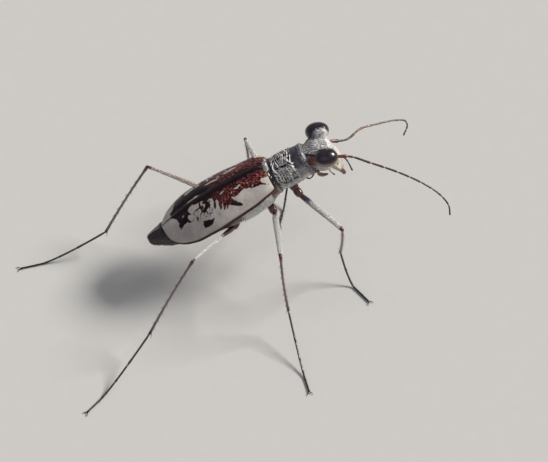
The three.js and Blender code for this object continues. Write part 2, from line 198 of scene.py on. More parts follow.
class Mat:
    def __init__(self, name, rough=0.4, metal=0.0, spec=0.5, coat=0.0, coat_rough=0.1):
        self.m = bpy.data.materials.new(name); self.m.use_nodes = True; nt = self.nt = self.m.node_tree; nt.nodes.clear()
        out = nt.nodes.new("ShaderNodeOutputMaterial"); self.b = nt.nodes.new("ShaderNodeBsdfPrincipled")
        nt.links.new(self.b.outputs[0], out.inputs[0])
        for k, v in (("Roughness", rough), ("Metallic", metal), ("Specular IOR Level", spec), ("Coat Weight", coat), ("Coat Roughness", coat_rough)):
            self.b.inputs[k].default_value = v
        tc = nt.nodes.new("ShaderNodeTexCoord"); vm = nt.nodes.new("ShaderNodeVectorMath"); vm.operation = "SCALE"
        vm.inputs["Scale"].default_value = 1000.0
        nt.links.new(tc.outputs["Object"], vm.inputs[0]); self.co = vm.outputs[0]; self.nrm = None

    def put(self, sock, v):
        if hasattr(v, "is_output"): self.nt.links.new(v, sock)
        elif isinstance(v, (tuple, list)): sock.default_value = tuple(v) + ((1.0,) if len(v) == 3 and len(sock.default_value) == 4 else ())
        else: sock.default_value = v

    def at(self, s=(1, 1, 1), rot=(0, 0, 0)):
        n = self.nt.nodes.new("ShaderNodeMapping"); self.put(n.inputs[0], self.co)
        n.inputs["Scale"].default_value = s; n.inputs["Rotation"].default_value = rot
        return n.outputs[0]

    def noise(self, scale, detail=3.0, rough=0.55, dist=0.0, co=None):
        n = self.nt.nodes.new("ShaderNodeTexNoise"); self.put(n.inputs["Vector"], co or self.co)
        n.inputs["Scale"].default_value = scale; n.inputs["Detail"].default_value = detail
        n.inputs["Roughness"].default_value = rough; n.inputs["Distortion"].default_value = dist
        return n.outputs["Fac"]

    def cells(self, scale, feature="F1", co=None, out="Distance"):
        n = self.nt.nodes.new("ShaderNodeTexVoronoi"); n.feature = feature; self.put(n.inputs["Vector"], co or self.co)
        n.inputs["Scale"].default_value = scale
        return n.outputs[out]

    def attr(self, name):
        n = self.nt.nodes.new("ShaderNodeAttribute"); n.attribute_name = name
        return n.outputs["Fac"]

    def math(self, op, a, b=0.5, c=None, clamp=False):
        n = self.nt.nodes.new("ShaderNodeMath"); n.operation = op; n.use_clamp = clamp
        self.put(n.inputs[0], a); self.put(n.inputs[1], b)
        if c is not None: self.put(n.inputs[2], c)
        return n.outputs[0]

    def span(self, v, a, b, c=0.0, d=1.0):
        n = self.nt.nodes.new("ShaderNodeMapRange"); n.interpolation_type = "SMOOTHSTEP"; self.put(n.inputs[0], v)
        for i, x in enumerate((a, b, c, d)): n.inputs[i + 1].default_value = x
        return n.outputs[0]

    def ramp(self, v, stops):
        n = self.nt.nodes.new("ShaderNodeValToRGB"); self.put(n.inputs[0], v); e = n.color_ramp.elements
        while len(e) < len(stops): e.new(0.5)
        for el, (p, c) in zip(e, stops): el.position = p; el.color = tuple(c) + (1.0,)
        return n.outputs[0]

    def mix(self, f, a, b, mode="MIX"):
        n = self.nt.nodes.new("ShaderNodeMix"); n.data_type = "RGBA"; n.blend_type = mode
        self.put(n.inputs[0], f); self.put(n.inputs[6], a); self.put(n.inputs[7], b)
        return n.outputs[2]

    def color(self, v): self.put(self.b.inputs["Base Color"], v); return self
    def rough(self, v): self.put(self.b.inputs["Roughness"], v); return self
    def metal(self, v): self.put(self.b.inputs["Metallic"], v); return self

    def bump(self, h, mm, strength=1.0):
        n = self.nt.nodes.new("ShaderNodeBump"); n.inputs["Distance"].default_value = mm / 1000.0; n.inputs["Strength"].default_value = strength
        self.put(n.inputs["Height"], h)
        if self.nrm is not None: self.nt.links.new(self.nrm, n.inputs["Normal"])
        self.nrm = n.outputs[0]; self.nt.links.new(self.nrm, self.b.inputs["Normal"])
        return self


# ------------------------------------------------------------ driving values, mm, as in the frame
PITCH, ROLL = math.radians(26), math.radians(-6.5)
TRUNK_AT = A([-0.64, -1.1, 6.82])
RY = A([[math.cos(PITCH), 0, -math.sin(PITCH)], [0, 1, 0], [math.sin(PITCH), 0, math.cos(PITCH)]])
RX = A([[1, 0, 0], [0, math.cos(ROLL), -math.sin(ROLL)], [0, math.sin(ROLL), math.cos(ROLL)]])
ROT = RY @ RX
trunk = lambda p: np.asarray(p) @ ROT.T + TRUNK_AT
LONG, HALF, DEPTH, ARCH, PEAK = 6.40, 1.70, 1.12, 0.67, 0.28
width_at = profile([[0, .50], [.02, .64], [.05, .735], [.1, .79], [.2, .86], [.4, .95], [.6, 1], [.74, .975], [.84, .87], [.92, .69], [.96, .52], [.983, .37], [.995, .2], [1, .05]])
depth_at = profile([[0, .60], [.1, .82], [.3, .97], [.5, 1], [.7, .93], [.85, .76], [.95, .55], [.985, .38], [1, .16]])
cad_depth = profile([[0, .60], [.1, .82], [.3, .97], [.5, 1], [.7, .93], [.85, .76], [1, .44]])
rise = lambda t: ARCH * (1 - np.abs((t - PEAK) / (1 - PEAK)) ** 2.3)
crest_at = lambda t: rise(t) - rise(0.0)
belly_w = profile([[-7.44, -1.33], [-7, -1.55], [-6.4, -1.76], [-5.2, -1.92], [-4, -2.02], [-3, -2.16], [-2, -2.2], [-1, -2.12], [-.3, -1.95], [.1, -1.7]])
belly_half = profile([[-7.44, .25], [-7, .50], [-6.4, .80], [-5.6, 1.04], [-4.4, 1.28], [-3, 1.40], [-2, 1.42], [-1, 1.3], [-.3, 1.02], [.1, .8]])
HEAD_AT = A([2.15, -1.1, 7.40])

# the edge of the dark area beside the seam, from the rear to the shoulder: place along the case, place across it
EDGE = [(.90, .02), (.876, .045), (.846, .175), (.845, .283), (.851, .36), (.845, .453), (.818, .41), (.799, .37), (.776, .345), (.734, .403), (.748, .335),
        (.76, .255), (.75, .215), (.714, .225), (.736, .143), (.738, .07), (.71, .035), (.674, .048), (.63, .072), (.604, .09), (.598, .158),
        (.583, .217), (.595, .258), (.623, .307), (.623, .37), (.599, .398), (.583, .35), (.564, .31), (.546, .315), (.534, .263), (.556, .152), (.521, .163),
        (.508, .16), (.504, .24), (.52, .323), (.524, .408), (.512, .427), (.497, .36), (.491, .283), (.479, .255), (.47, .32), (.482, .5), (.47, .53),
        (.45, .43), (.438, .375), (.445, .453), (.459, .56), (.448, .59), (.431, .517), (.42, .497), (.431, .585), (.421, .595), (.408, .535), (.393, .552),
        (.356, .63), (.316, .72), (.3, .728), (.306, .657), (.329, .568), (.346, .485), (.364, .415), (.364, .375), (.335, .405), (.307, .422), (.285, .422),
        (.268, .388), (.242, .367), (.223, .385), (.194, .435), (.156, .487), (.116, .517), (.079, .573), (.062, .593), (.08, .517), (.095, .43), (.098, .362),
        (.084, .34), (.051, .343), (.024, .357), (-.05, .36), (-.05, -.2), (.90, -.2)]
QUAD = [(.639, .535), (.576, .6), (.544, .593), (.569, .665), (.584, .725), (.608, .738), (.645, .74), (.657, .713), (.656, .615)]


def polygon_distance(x, y, pts):
    """signed distance, positive inside"""
    p = A(pts); q = np.roll(p, -1, 0); d = np.full(x.shape, 1e9); inside = np.zeros(x.shape, bool)
    for (ax, ay), (bx, by) in zip(p, q):
        ex, ey = bx - ax, by - ay; wx, wy = x - ax, y - ay
        h = np.clip((wx * ex + wy * ey) / max(ex * ex + ey * ey, 1e-12), 0, 1)
        d = np.minimum(d, np.hypot(wx - ex * h, wy - ey * h))
        if ay != by:
            inside ^= ((ay > y) != (by > y)) & (x < (bx - ax) * (y - ay) / (by - ay) + ax)
    return np.where(inside, d, -d)


def spot(x, y, t, q, rx, ry, turn=0.0):
    c, s = math.cos(turn), math.sin(turn); dx, dy = x - t * LONG, y - q * ACROSS
    a, b = (dx * c + dy * s) / rx, (-dx * s + dy * c) / ry; k = np.hypot(a, b)
    return (1 - k) * min(rx, ry)


ACROSS = 2.15


shift_far = profile([(0, .05), (.3, .06), (.5, .12), (.65, .27), (.75, .24), (.88, .10), (1, .02)])


def markings(t, q, seed):
    x, y = t * LONG, q * ACROSS
    y0 = y
    if seed > 0: y = y - shift_far(t) * ACROSS * smooth(0.0, .05, q) * (1 - .8 * smooth(.48, .72, q))
    P = np.stack([x, y, np.full_like(x, seed * 3.7)], -1)
    x = x + 0.030 * noise(P * 7, 1) + 0.016 * noise(P * 17, 2) + .008 * noise(P * 36, 5)
    warp = 0.030 * noise(P * 7 + 9, 3) + 0.016 * noise(P * 17 + 9, 4) + .008 * noise(P * 36, 6); y = y + warp; y0 = y0 + warp
    d = polygon_distance(x, y, [(a * LONG, b * ACROSS) for a, b in EDGE])
    for s in [(.289, .238, .20, .055, .06), (.345, .285, .06, .03, .9), (.42, .16, .10, .028, .2), (.60, .115, .05, .02, 0), (.79, .16, .07, .03, .3), (.20, .27, .05, .025, .1), (.165, .40, .06, .03, .5)]:
        d = np.minimum(d, -spot(x, y, *s))
    d = np.maximum(d, polygon_distance(x, y0, [(a * LONG, b * ACROSS) for a, b in QUAD]))
    for s in [(.76, .33, .045, .03, 0), (.722, .385, .04, .03, 0), (.684, .443, .04, .028, .5), (.60, .20, .09, .02, .8), (.64, .33, .08, .022, .4), (.56, .23, .06, .018, 1.2),
              (.655, .26, .06, .02, -.3), (.69, .30, .05, .018, 1.0), (.535, .40, .035, .018, 0), (.555, .45, .03, .016, .6), (.575, .50, .03, .016, 0), (.59, .41, .04, .016, .9),
              (.665, .18, .05, .016, .2), (.68, .24, .05, .015, -.4), (.62, .26, .04, .015, .4), (.705, .345, .04, .016, .3), (.665, .40, .03, .016, 0), (.63, .39, .035, .016, .7), (.055, .64, .05, .03, 0), (.70, .13, .06, .02, .2), (.865, .53, .04, .02, .2), (.50, .60, .05, .02, .3)]:
        d = np.maximum(d, spot(x, y, *s))
    # thin torn lines across the pale middle zone
    zone = smooth(.50, .54, t) * (1 - smooth(.66, .72, t)) * smooth(.06, .10, q) * (1 - smooth(.42, .52, q))
    torn = np.abs(noise(np.stack([x * 8.5, y * 3.4, x * 0 + seed + 5], -1), 44)) * .16
    d = np.where(zone > .05, np.maximum(d, (.042 * zone - torn)), d)
    if seed > 0:
        X, Y = t * LONG, q * ACROSS
        for st, sq, rx, ry, tu in ((.32, .275, .36, .055, -.05), (.48, .205, .40, .050, .04), (.27, .30, .10, .05, .3)):
            d = np.minimum(d, -(spot(X + .03 * noise(P * 6, 50), Y + .03 * noise(P * 6, 51), st, sq, rx, ry, tu)))
    return d


# ------------------------------------------------------------ materials
def white_hair(name, warm=0.0):
    m = Mat(name, rough=0.5, spec=0.5)
    c = m.mix(m.attr("tone"), (0.62 + warm * .1, 0.585, 0.55 - warm * .12), (0.93, 0.91, 0.88))
    m.color(m.mix(m.span(m.attr("tipp"), 0, 1), c, (0.96, 0.95, 0.93)))
    m.bump(m.noise(60, 2), 0.004)
    return m.m


def shell_material():
    m = Mat("wing_case_shell", rough=0.42, spec=0.12, coat=0.0, coat_rough=0.3)
    t, q, d = m.attr("tt"), m.attr("qq"), m.attr("pat")
    mottled = m.noise(2.2, 4, .6); fine = m.noise(16, 3, .6); grain = m.cells(9.5)
    ivory = m.mix(m.span(mottled, .35, .7), (0.56, 0.50, 0.46), (0.72, 0.675, 0.63))
    ivory = m.mix(m.math("MULTIPLY", m.span(fine, .50, .72), .35), ivory, (0.50, 0.43, 0.37))
    pits = m.math("MULTIPLY", m.span(grain, .0, .16, 1, 0), .28)
    ivory = m.mix(pits, ivory, (0.33, 0.27, 0.25))
    # painted shade: the pale ground turns darker towards the rear and the lower outer side of the case, the side that
    # faces away from the key light
    ivory = m.mix(m.math("MULTIPLY", m.span(t, .22, .80, .10, .62), m.span(q, .15, .55, .6, 1.0)), ivory, (0.215, 0.182, 0.190))
    ivory = m.mix(m.span(q, .905, .955), ivory, (0.062, 0.028, 0.024))
    copper_zone = m.math("MULTIPLY", m.math("MULTIPLY", m.span(t, .34, .60, 1, 0), m.span(q, .34, .62, 1, 0)), m.span(m.math("ADD", q, m.math("MULTIPLY_ADD", m.noise(11, 2), .08, m.math("MULTIPLY", m.noise(3, 2), .09))), .145, .185))
    copper = m.ramp(m.noise(8.5, 5, .8), [(.38, (.006, .002, .004)), (.46, (.034, .008, .013)), (.54, (.23, .042, .055)), (.615, (.56, .20, .13)), (.69, (.56, .42, .18)), (.76, (.10, .24, .10))])
    copper = m.mix(m.math("MULTIPLY", m.span(m.cells(11), .05, .12, 1, 0), m.span(m.noise(2.4, 2), .42, .60)), copper, (.66, .40, .26))
    plum = m.mix(m.span(m.noise(5, 3), .35, .7), (0.006, 0.0025, 0.006), (0.017, 0.008, 0.014))
    dark = m.mix(copper_zone, plum, copper)
    base_gold = m.math("MULTIPLY", m.math("MULTIPLY", m.span(t, .038, .066, 1, 0), m.span(q, .18, .27)), m.span(q, .38, .46, 1, 0))
    dark = m.mix(m.math("MULTIPLY", base_gold, m.span(m.noise(9, 3), .42, .62, .15, 1)), dark, (.42, .23, .07))
    edge_brown = m.mix(m.span(d, 0.0, 0.055), (0.075, 0.032, 0.024), dark)
    mask = m.span(m.math("ADD", d, m.math("MULTIPLY", m.math("SUBTRACT", fine, .5), .03)), -.010, .012)
    col = m.mix(mask, ivory, edge_brown)
    seam = m.math("MULTIPLY", m.span(q, .008, .03, 1, 0), .8)
    col = m.mix(seam, col, (0.030, 0.014, 0.014))
    m.color(col)
    m.metal(m.math("MULTIPLY", m.math("MULTIPLY", mask, copper_zone), .75))
    m.rough(m.math("ADD", m.math("MULTIPLY", mask, -.10), m.span(fine, .3, .8, .34, .46)))
    bumpy = m.math("MULTIPLY", copper_zone, m.noise(13, 4, .75))
    m.bump(m.span(grain, .0, .22), 0.016, .8)
    m.bump(bumpy, 0.05, .8)
    m.bump(m.noise(30, 2), 0.006, .7)
    return m.m


def cuticle(name, stops, scale, rough, metal=0.0, coat=0.3, rug=0.02, rug_scale=(6, 22, 22), pits=0.0):
    m = Mat(name, rough=rough, metal=metal, coat=coat, coat_rough=0.12)
    v = m.noise(scale, 4, .6, .6)
    m.color(m.ramp(v, stops))
    m.rough(m.span(m.noise(scale * 3, 3), .3, .8, rough * .8, min(rough * 1.5, .9)))
    m.bump(m.noise(1.0, 2.5, .6, .5, co=m.at(rug_scale)), rug, .9)
    if pits: m.bump(m.span(m.cells(12), .0, .25), pits, .8)
    return m.m


def along_material(name, stops, rough=0.3, metal=0.0, coat=0.3, dots=None, pale=None):
    """colour by the place along a limb, with fine grain"""
    m = Mat(name, rough=rough, metal=metal, coat=coat, coat_rough=0.12)
    s = m.math("ADD", m.attr("s"), m.math("MULTIPLY", m.math("SUBTRACT", m.noise(4, 3), .5), .06))
    c = m.ramp(s, stops)
    c = m.mix(m.math("MULTIPLY", m.span(m.noise(11, 3), .45, .75), .45), c, (0.02, 0.012, 0.016))
    if pale: c = m.mix(m.math("MULTIPLY", m.math("MULTIPLY", m.span(m.attr("top"), -.25, .35), m.math("MULTIPLY", m.span(m.attr("s"), pale[0], pale[0] + .16), m.span(m.attr("s"), .93, .97, 1, 0))), pale[1]), c, (.56, .52, .51))
    if dots: c = m.mix(m.span(m.cells(6.5), .10, .17, .85, 0), c, dots)
    m.color(c)
    m.bump(m.noise(24, 3), 0.010, .8)
    return m.m


IVORY = (0.80, 0.76, 0.66)
MAROON = (0.085, 0.018, 0.014)
PURPLE = (0.075, 0.040, 0.060)
AMBER = (0.33, 0.125, 0.045)
BLACK = (0.016, 0.012, 0.013)

# ------------------------------------------------------------ wing cases
def shell_point(t, q, side, inset=0.0):
    a = HALF * width_at(t) - inset; d = DEPTH * depth_at(t) - inset * .9; c = crest_at(t)
    edge = c - DEPTH * depth_at(t)
    e = 2 / 2.25; s, k = np.sin(q * np.pi / 2), np.cos(q * np.pi / 2)
    l = a * np.abs(s) ** e; w = edge + d * np.abs(k) ** e
    w = w + 0.020 * np.exp(-(q / .03) ** 2) * (inset == 0) - 0.020 * np.exp(-((q - .07) / .05) ** 2) * (inset == 0)
    l = l + 0.022 * np.exp(-((q - 1) / .02) ** 2) * (inset == 0)
    # a soft shoulder and low swellings on the disc
    w = w - .26 * (1 - smooth(.0, .13, t)) * (1 - .75 * q)
    w = w + (inset == 0) * (0.05 * np.exp(-((t - .07) / .05) ** 2 - ((q - .52) / .16) ** 2) - 0.030 * np.exp(-((t - .13) / .05) ** 2 - ((q - .25) / .14) ** 2))
    return np.stack([-t * LONG, side * (l + 0.012), w], -1)


shell_mat = shell_material()
inner_mat = cuticle("wing_case_lining", [(.3, (.20, .13, .10)), (.7, (.34, .24, .19))], 3, .5)
for side, name in ((-1, "right"), (1, "left")):
    nt, nq = 330, 150
    t = np.concatenate([np.linspace(.034, .93, 290, endpoint=False), .93 + .07 * np.sin(np.linspace(0, 1, 40) * np.pi / 2)])
    q = np.linspace(0, 1, nq)
    Tg, Qg = np.meshgrid(t, q, indexing="ij")
    outer = shell_point(Tg, Qg, side)
    P = outer * A([1, 1, 1])
    outer[..., 2] += 0.010 * noise(P * 2.2, 8) + .004 * noise(P * 6, 9)
    inner = shell_point(Tg[:, ::-1], Qg[:, ::-1], side, inset=0.10)
    inner[..., 0] = np.clip(inner[..., 0], -LONG + .10, -.20)
    G = np.concatenate([outer, inner[:, ::6]], 1)
    pat = np.concatenate([markings(Tg, Qg, side), np.full((nt, len(range(0, nq, 6))), -1.0)], 1)
    tt = np.broadcast_to(t[:, None], pat.shape)
    qq = np.concatenate([Qg, np.full((nt, len(range(0, nq, 6))), .97)], 1)
    if side < 0: G, pat, tt, qq = G[:, ::-1], pat[:, ::-1], tt[:, ::-1], qq[:, ::-1]
    f = Form().grid(trunk(G)[:, ::-1], pat=pat[:, ::-1], tt=tt[:, ::-1], qq=qq[:, ::-1])
    f.make("wing_case_" + name, shell_mat, "wing_case", ("elytron_" + name,))

# ------------------------------------------------------------ trunk under the wing cases
def trunk_ring(u, ang):
    """ang 0 at the left edge, pi/2 at the belly, pi at the right edge, 3pi/2 on top"""
    u, ang = np.broadcast_arrays(np.asarray(u, float), ang)
    t = np.clip(-u / LONG, 0, 1); tail = smooth(-6.30, -6.72, u)
    lip = crest_at(t) - DEPTH * cad_depth(t) - 0.05
    low = belly_w(u); half = belly_half(u) * (1 - .08 * tail)
    top = crest_at(t) - 0.22 * (1 - tail); top = top * (1 - tail) + tail * (-0.74 - .10 * smooth(-6.8, -7.44, u))
    lip = lip * (1 - tail) + tail * (low * .45 + top * .55)
    seg = 0.025 * np.exp(-((np.mod(u + .02 * np.cos(ang * 2), .92) - .46) / .05) ** 2) * (u < -1.9) + .02 * np.exp(-((u + 1.0) / .05) ** 2)
    c, s = np.cos(ang), np.sin(ang)
    k = 1 - seg * 1.6
    l = half * k * np.sign(c) * np.abs(c) ** .9
    w = np.where(s >= 0, lip - (lip - low) * np.abs(s) ** .9 * k, lip + (top - lip) * np.abs(s) ** .85)
    l = np.where(s < 0, l * (1 - .06 * (1 - tail)), l)
    return np.stack([u, l, w], -1)


body_mat = cuticle("thorax_cuticle", [(.30, (.018, .011, .010)), (.46, (.050, .026, .018)), (.60, (.115, .055, .028)), (.8, (.22, .15, .09))], 4, .30, metal=.20, coat=.4, rug=.03)
neck_mat = Mat("mesothorax_cuticle", rough=.3, metal=.2, coat=.25)
c = neck_mat.ramp(neck_mat.noise(4, 4, .6, .6), [(.34, (.016, .009, .007)), (.48, (.070, .030, .014)), (.62, (.22, .105, .035)), (.8, (.34, .22, .09))])
neck_mat.color(neck_mat.mix(neck_mat.attr("under"), (.010, .007, .010), c)); neck_mat.bump(neck_mat.noise(14, 3), .014, .8)
tail_mat = cuticle("abdomen_cuticle", [(.30, (.005, .003, .005)), (.52, (.011, .006, .009)), (.68, (.040, .010, .013)), (.85, (.05, .04, .045))], 4, .32, metal=.05, coat=.30, rug=.018, rug_scale=(14, 6, 6))
th = np.linspace(0, 2 * np.pi, 180, endpoint=False)
for name, a, b, n, mat, slot in (("mesothorax", .05, -1.22, 60, neck_mat.m, "thorax_side"), ("metathorax", -1.24, -3.12, 80, body_mat, "thorax_side"), ("abdomen", -3.14, -7.40, 190, tail_mat, "abdomen")):
    u = np.linspace(a, b, n)
    G = trunk_ring(u[:, None], th[None])
    if name == "abdomen":
        # a rounded end with the last plates drawn in
        k = np.sqrt(np.clip(1 - smooth(-7.20, -7.44, u) ** 3, 0.05, 1))[:, None]
        mid = G.mean(1, keepdims=True)
        G = mid + (G - mid) * np.stack([np.ones_like(k), k, k], -1)
        G[..., 2] += (0.09 * np.exp(-np.abs(G[..., 1] / .12)) * smooth(-6.4, -6.7, u)[:, None] * (np.sin(th) < 0)[None])
        side_k = np.exp(-((np.mod(th + np.pi / 2, np.pi) - np.pi / 2) / .16) ** 2)[None] * smooth(-6.3, -6.7, u)[:, None]
        G[..., 1] += np.sign(np.cos(th))[None] * .05 * side_k
    P = trunk(G)
    out = unit(P - P.mean(1, keepdims=True))
    P = P + out * (0.010 * noise(P * 5, 12) + .006 * noise(P * 14, 13))[..., None]
    f = Form().grid(P[:, ::-1], under=np.broadcast_to(smooth(-.10, .12, np.sin(th))[None], P.shape[:2])[:, ::-1])
    if name == "mesothorax":
        # the small three-cornered plate between the wing cases' bases
        r = np.linspace(0, 1, 24)[:, None]; c = np.linspace(-1, 1, 25)[None]
        uu = -0.24 - 0.30 * r + 0 * c; ll = c * 0.17 * (1 - r) ** .8 + 0 * r
        topw = crest_at(np.clip(-uu / LONG, 0, 1)) - .26 * (1 - smooth(.0, .13, -uu / LONG)) + 0.045 - .05 * (ll / .3) ** 2 - .03 * r
        up = np.stack([uu, ll, topw], -1); dn = up - A([0, 0, .09])
        f.grid(trunk(np.concatenate([up, dn[:, ::-1]], 1))[:, ::-1], mat=1)
    f.make(name + "_skin", [mat, cuticle("scutellum", [(.35, (.035, .015, .014)), (.58, (.10, .045, .028)), (.75, (.42, .28, .10))], 9, .28, metal=.6, coat=.3)] if name == "mesothorax" else mat, slot, (name,))

# ------------------------------------------------------------ prothorax
pro_at = profile([[0, .96], [.025, 1.00], [.08, 1.015], [.12, .99], [.15, .935], [.21, .965], [.45, 1.005], [.66, .985], [.71, .945], [.80, .925], [.885, .915], [.91, .93], [.96, .94], [1, .86]])


def pro_point(v, ang, fine=True):
    v, ang = np.broadcast_arrays(np.asarray(v, float), ang)
    k = pro_at(v); c, s = np.cos(ang), np.sin(ang); e = 2 / 2.15
    l = .88 * k * np.sign(c) * np.abs(c) ** e; w = -1.02 + (.885 + .05 * smooth(.3, 1, v)) * k * np.sign(s) * np.abs(s) ** e
    u = -.32 + 2.18 * v - .04 * (s > 0) * s * (v < .15) * (1 - v / .15)
    if fine:
        u = u + .02 * noise(np.stack([u * 3, l * 3, w * 3], -1), 20) * smooth(.05, .2, v)
        k2 = 1 + pro_wrinkle(v, ang) / .88
        l, w = l * k2, -1.02 + (w + 1.02) * k2
    return np.stack([u, l, w], -1)


def pro_wrinkle(v, ang):
    v, ang = np.broadcast_arrays(np.asarray(v, float), ang)
    u, l = 2.18 * v, .9 * ang
    disc = smooth(.15, .20, v) * (1 - smooth(.69, .72, v)); rim = 1 - smooth(.10, .14, v)
    N2 = noise(np.stack([u * 2.6, l * 2.2, u * 0], -1), 24); N3 = noise(np.stack([u * 7, l * 3.5, u * 0 + 3], -1), 25)
    waves = np.sin(u * 62 + 9 * N2 + 3.4 * N3) * smooth(-.34, -.08, np.sin(ang))
    r = (.030 * waves + .018 * N3) * disc + (.036 * np.sin(u * 26 + l * 34 + 9 * N2 + 6 * N3) + .018 * N3) * rim + .003 * N3
    top = np.sin(ang) > 0
    r = r - .05 * np.exp(-((ang - np.pi / 2 - .02) / .042) ** 2) * disc * .7
    for side, a0 in ((-1, np.pi / 2 + .62), (1, np.pi / 2 - .62)):      # crease between the disc and the hairy side
        bend = a0 + side * -.22 * (v - .5)
        r = r - .070 * np.exp(-((ang - bend) / .060) ** 2) * smooth(.24, .32, v) * (1 - smooth(.58, .66, v))
        r = r - .055 * np.exp(-((ang - (np.pi / 2 - side * 1.60)) / .050) ** 2) * smooth(.2, .3, v) * (1 - smooth(.60, .7, v))
    return r


v = np.linspace(0, 1, 280); th = np.linspace(0, 2 * np.pi, 300, endpoint=False)
P = trunk(pro_point(v[:, None], th[None]))
m = Mat("pronotum_cuticle", rough=0.42, metal=0.15, coat=0.08, coat_rough=0.3)
s = m.attr("s")
wr = m.math("ADD", m.attr("wr"), m.math("MULTIPLY", m.math("SUBTRACT", m.noise(13, 3), .5), .5))
c = m.ramp(wr, [(.05, (.012, .010, .016)), (.30, (.045, .038, .050)), (.52, (.24, .225, .235)), (.72, (.56, .545, .54)), (.95, (.80, .785, .77))])
c = m.mix(m.math("MULTIPLY", m.span(m.noise(3.0, 3), .52, .72), .30), c, (.12, .05, .035))
plate = m.attr("plate")
c = m.mix(plate, c, m.mix(m.span(m.noise(6, 3), .35, .65), (.38, .35, .345), (.58, .555, .545)))
collar = m.mix(m.span(m.noise(4, 3), .3, .7), (.030, .024, .042), (.085, .075, .105))
c = m.mix(m.math("MULTIPLY", m.attr("above"), m.math("MULTIPLY", m.span(s, .685, .72), m.span(s, .89, .905, 1, 0))), c, collar)
c = m.mix(m.span(s, .89, .91), c, m.mix(m.span(m.noise(17, 3), .49, .60), (.055, .048, .065), (.46, .44, .45)))
c = m.mix(m.math("MULTIPLY", m.span(s, .110, .13), m.span(s, .175, .205, 1, 0)), c, (.016, .012, .020))
m.color(c)
m.bump(m.noise(26, 3), .012, .8)
wrv = np.clip(.5 + pro_wrinkle(v[:, None], th[None]) / .075, 0, 1)
plate_v = (1 - smooth(-.34, -.07, np.sin(th)))[None] * np.ones((280, 1))
above_v = (1 - smooth(.95, 1.35, np.abs(np.mod(th - np.pi / 2 + np.pi, 2 * np.pi) - np.pi)))[None] * np.ones((280, 1))
plate_v = np.maximum(plate_v, (smooth(.30, .55, np.abs(np.cos(th))) * smooth(-.12, -.42, np.sin(th)))[None] * np.ones((280, 1)))
Form().grid(P[:, ::-1], s=v[:, None], wr=wrv[:, ::-1], plate=plate_v[:, ::-1], above=above_v[:, ::-1]).make("prothorax_skin", m.m, "prothorax", ("prothorax",))

# ------------------------------------------------------------ head
def ball(p, c, r):
    x = (p - A(c)) / A(r); k0 = np.linalg.norm(x, axis=-1); k1 = np.linalg.norm(x / A(r), axis=-1)
    return k0 * (k0 - 1) / np.maximum(k1, 1e-9)


def rod(p, a, b, ra, rb):
    a, b = A(a), A(b); d = b - a; h = np.clip(((p - a) @ d) / d.dot(d), 0, 1)
    return np.linalg.norm(p - a - h[..., None] * d, axis=-1) - (ra + (rb - ra) * h)


def join(a, b, k):
    h = np.clip(.5 + .5 * (b - a) / k, 0, 1)
    return b + (a - b) * h - k * h * (1 - h)


def head_distance(p):
    m = p * A([1, 0, 1]) + np.abs(p) * A([0, 1, 0])
    d = ball(p, (-.10, 0, -.46), (.76, .94, .58))
    d = join(d, rod(p, (.16, 0, -.58), (.42, 0, -.84), .53, .49), .12)
    d = join(d, rod(p, (.42, 0, -.84), (.60, 0, -1.10), .49, .44), .12)
    d = join(d, ball(p, (.06, 0, -.98), (.70, .76, .58)), .12)
    d = join(d, rod(p, (-1.1, 0, -.82), (-.3, 0, -.62), .58, .70), .12)
    d = -join(-d, ball(p, (.10, 0, .80), (.80, .42, .66)), .18)
    d = join(d, ball(m, (.06, .70, -.005), (.50, .34, .470)), .06)                  # raised plates that lean on the eyes
    d = -join(-d, rod(m, (.60, .58, -.50), (.80, .60, -.40), .11, .13), .05)      # socket of the feeler
    d = -join(-d, ball(m, (.94, .43, -1.10), (.25, .06, .35)), .05)               # groove beside the face plate
    return d


nt, npn = 240, 340
ta = np.linspace(0.004, np.pi - .004, nt)[:, None]; pa = np.linspace(0, 2 * np.pi, npn, endpoint=False)[None]
D = np.stack([np.cos(ta) + 0 * pa, np.sin(ta) * np.cos(pa), np.sin(ta) * np.sin(pa)], -1)
C = A([0.0, 0, -.72])
r = np.full(D.shape[:2], 2.4); done = np.zeros(r.shape, bool)
for _ in range(130):
    dd = head_distance(C + D * r[..., None]); done |= dd <= 0.0
    r = np.where(done, r, r - .018)
lo, hi = r - .002, r + .022
for _ in range(12):
    md = (lo + hi) / 2; ins = head_distance(C + D * md[..., None]) < 0
    lo, hi = np.where(ins, md, lo), np.where(ins, hi, md)
P = C + D * lo[..., None]
# fine wavy wrinkles that run back from the face between the eyes
wav = np.sin((P[..., 1] * 58 + 7.0 * noise(P * 2.6, 31) + 3.0 * noise(P * 7, 32)))
up = smooth(.0, .5, D[..., 2])
lo = lo + .014 * wav * up + .010 * noise(P * 9, 33)
P = C + D * lo[..., None] + HEAD_AT
m = Mat("head_cuticle", rough=0.42, metal=0.14, coat=0.12, coat_rough=0.25)
up, w = m.attr("up"), m.attr("wav")
n1 = m.noise(1.0, 4, .65, .9, co=m.at((6, 20, 14)))
c = m.ramp(n1, [(.30, (.10, .09, .10)), (.42, (.30, .285, .295)), (.55, (.56, .55, .555)), (.72, (.82, .81, .80))])
c = m.mix(m.span(w, -.75, .25, .75, 0), c, (.055, .045, .055))
c = m.mix(m.math("MULTIPLY", m.span(m.attr("frons"), .35, .85), .8), c, m.mix(m.span(m.noise(9, 3), .40, .60), (.56, .52, .51), (.80, .78, .76)))
c = m.mix(m.span(m.cells(3.0), .05, .085, .9, 0), c, (.012, .010, .014))
face = m.mix(m.span(m.noise(7, 3), .4, .7), (.62, .56, .50), (.80, .77, .72))
c = m.mix(m.span(m.attr("face"), .45, .75), c, face)
c = m.mix(m.span(m.attr("temple"), .3, .8), c, m.mix(m.span(m.noise(8, 3), .35, .65), (.17, .055, .042), (.33, .12, .10)))
c = m.mix(m.span(m.attr("back"), .5, .9), c, (.10, .055, .075))
c = m.mix(m.span(m.attr("rim"), .20, .62, 0, .95), c, (.008, .005, .009))
m.color(c); m.bump(n1, .035, .8); m.bump(m.noise(40, 2), .008, .7)
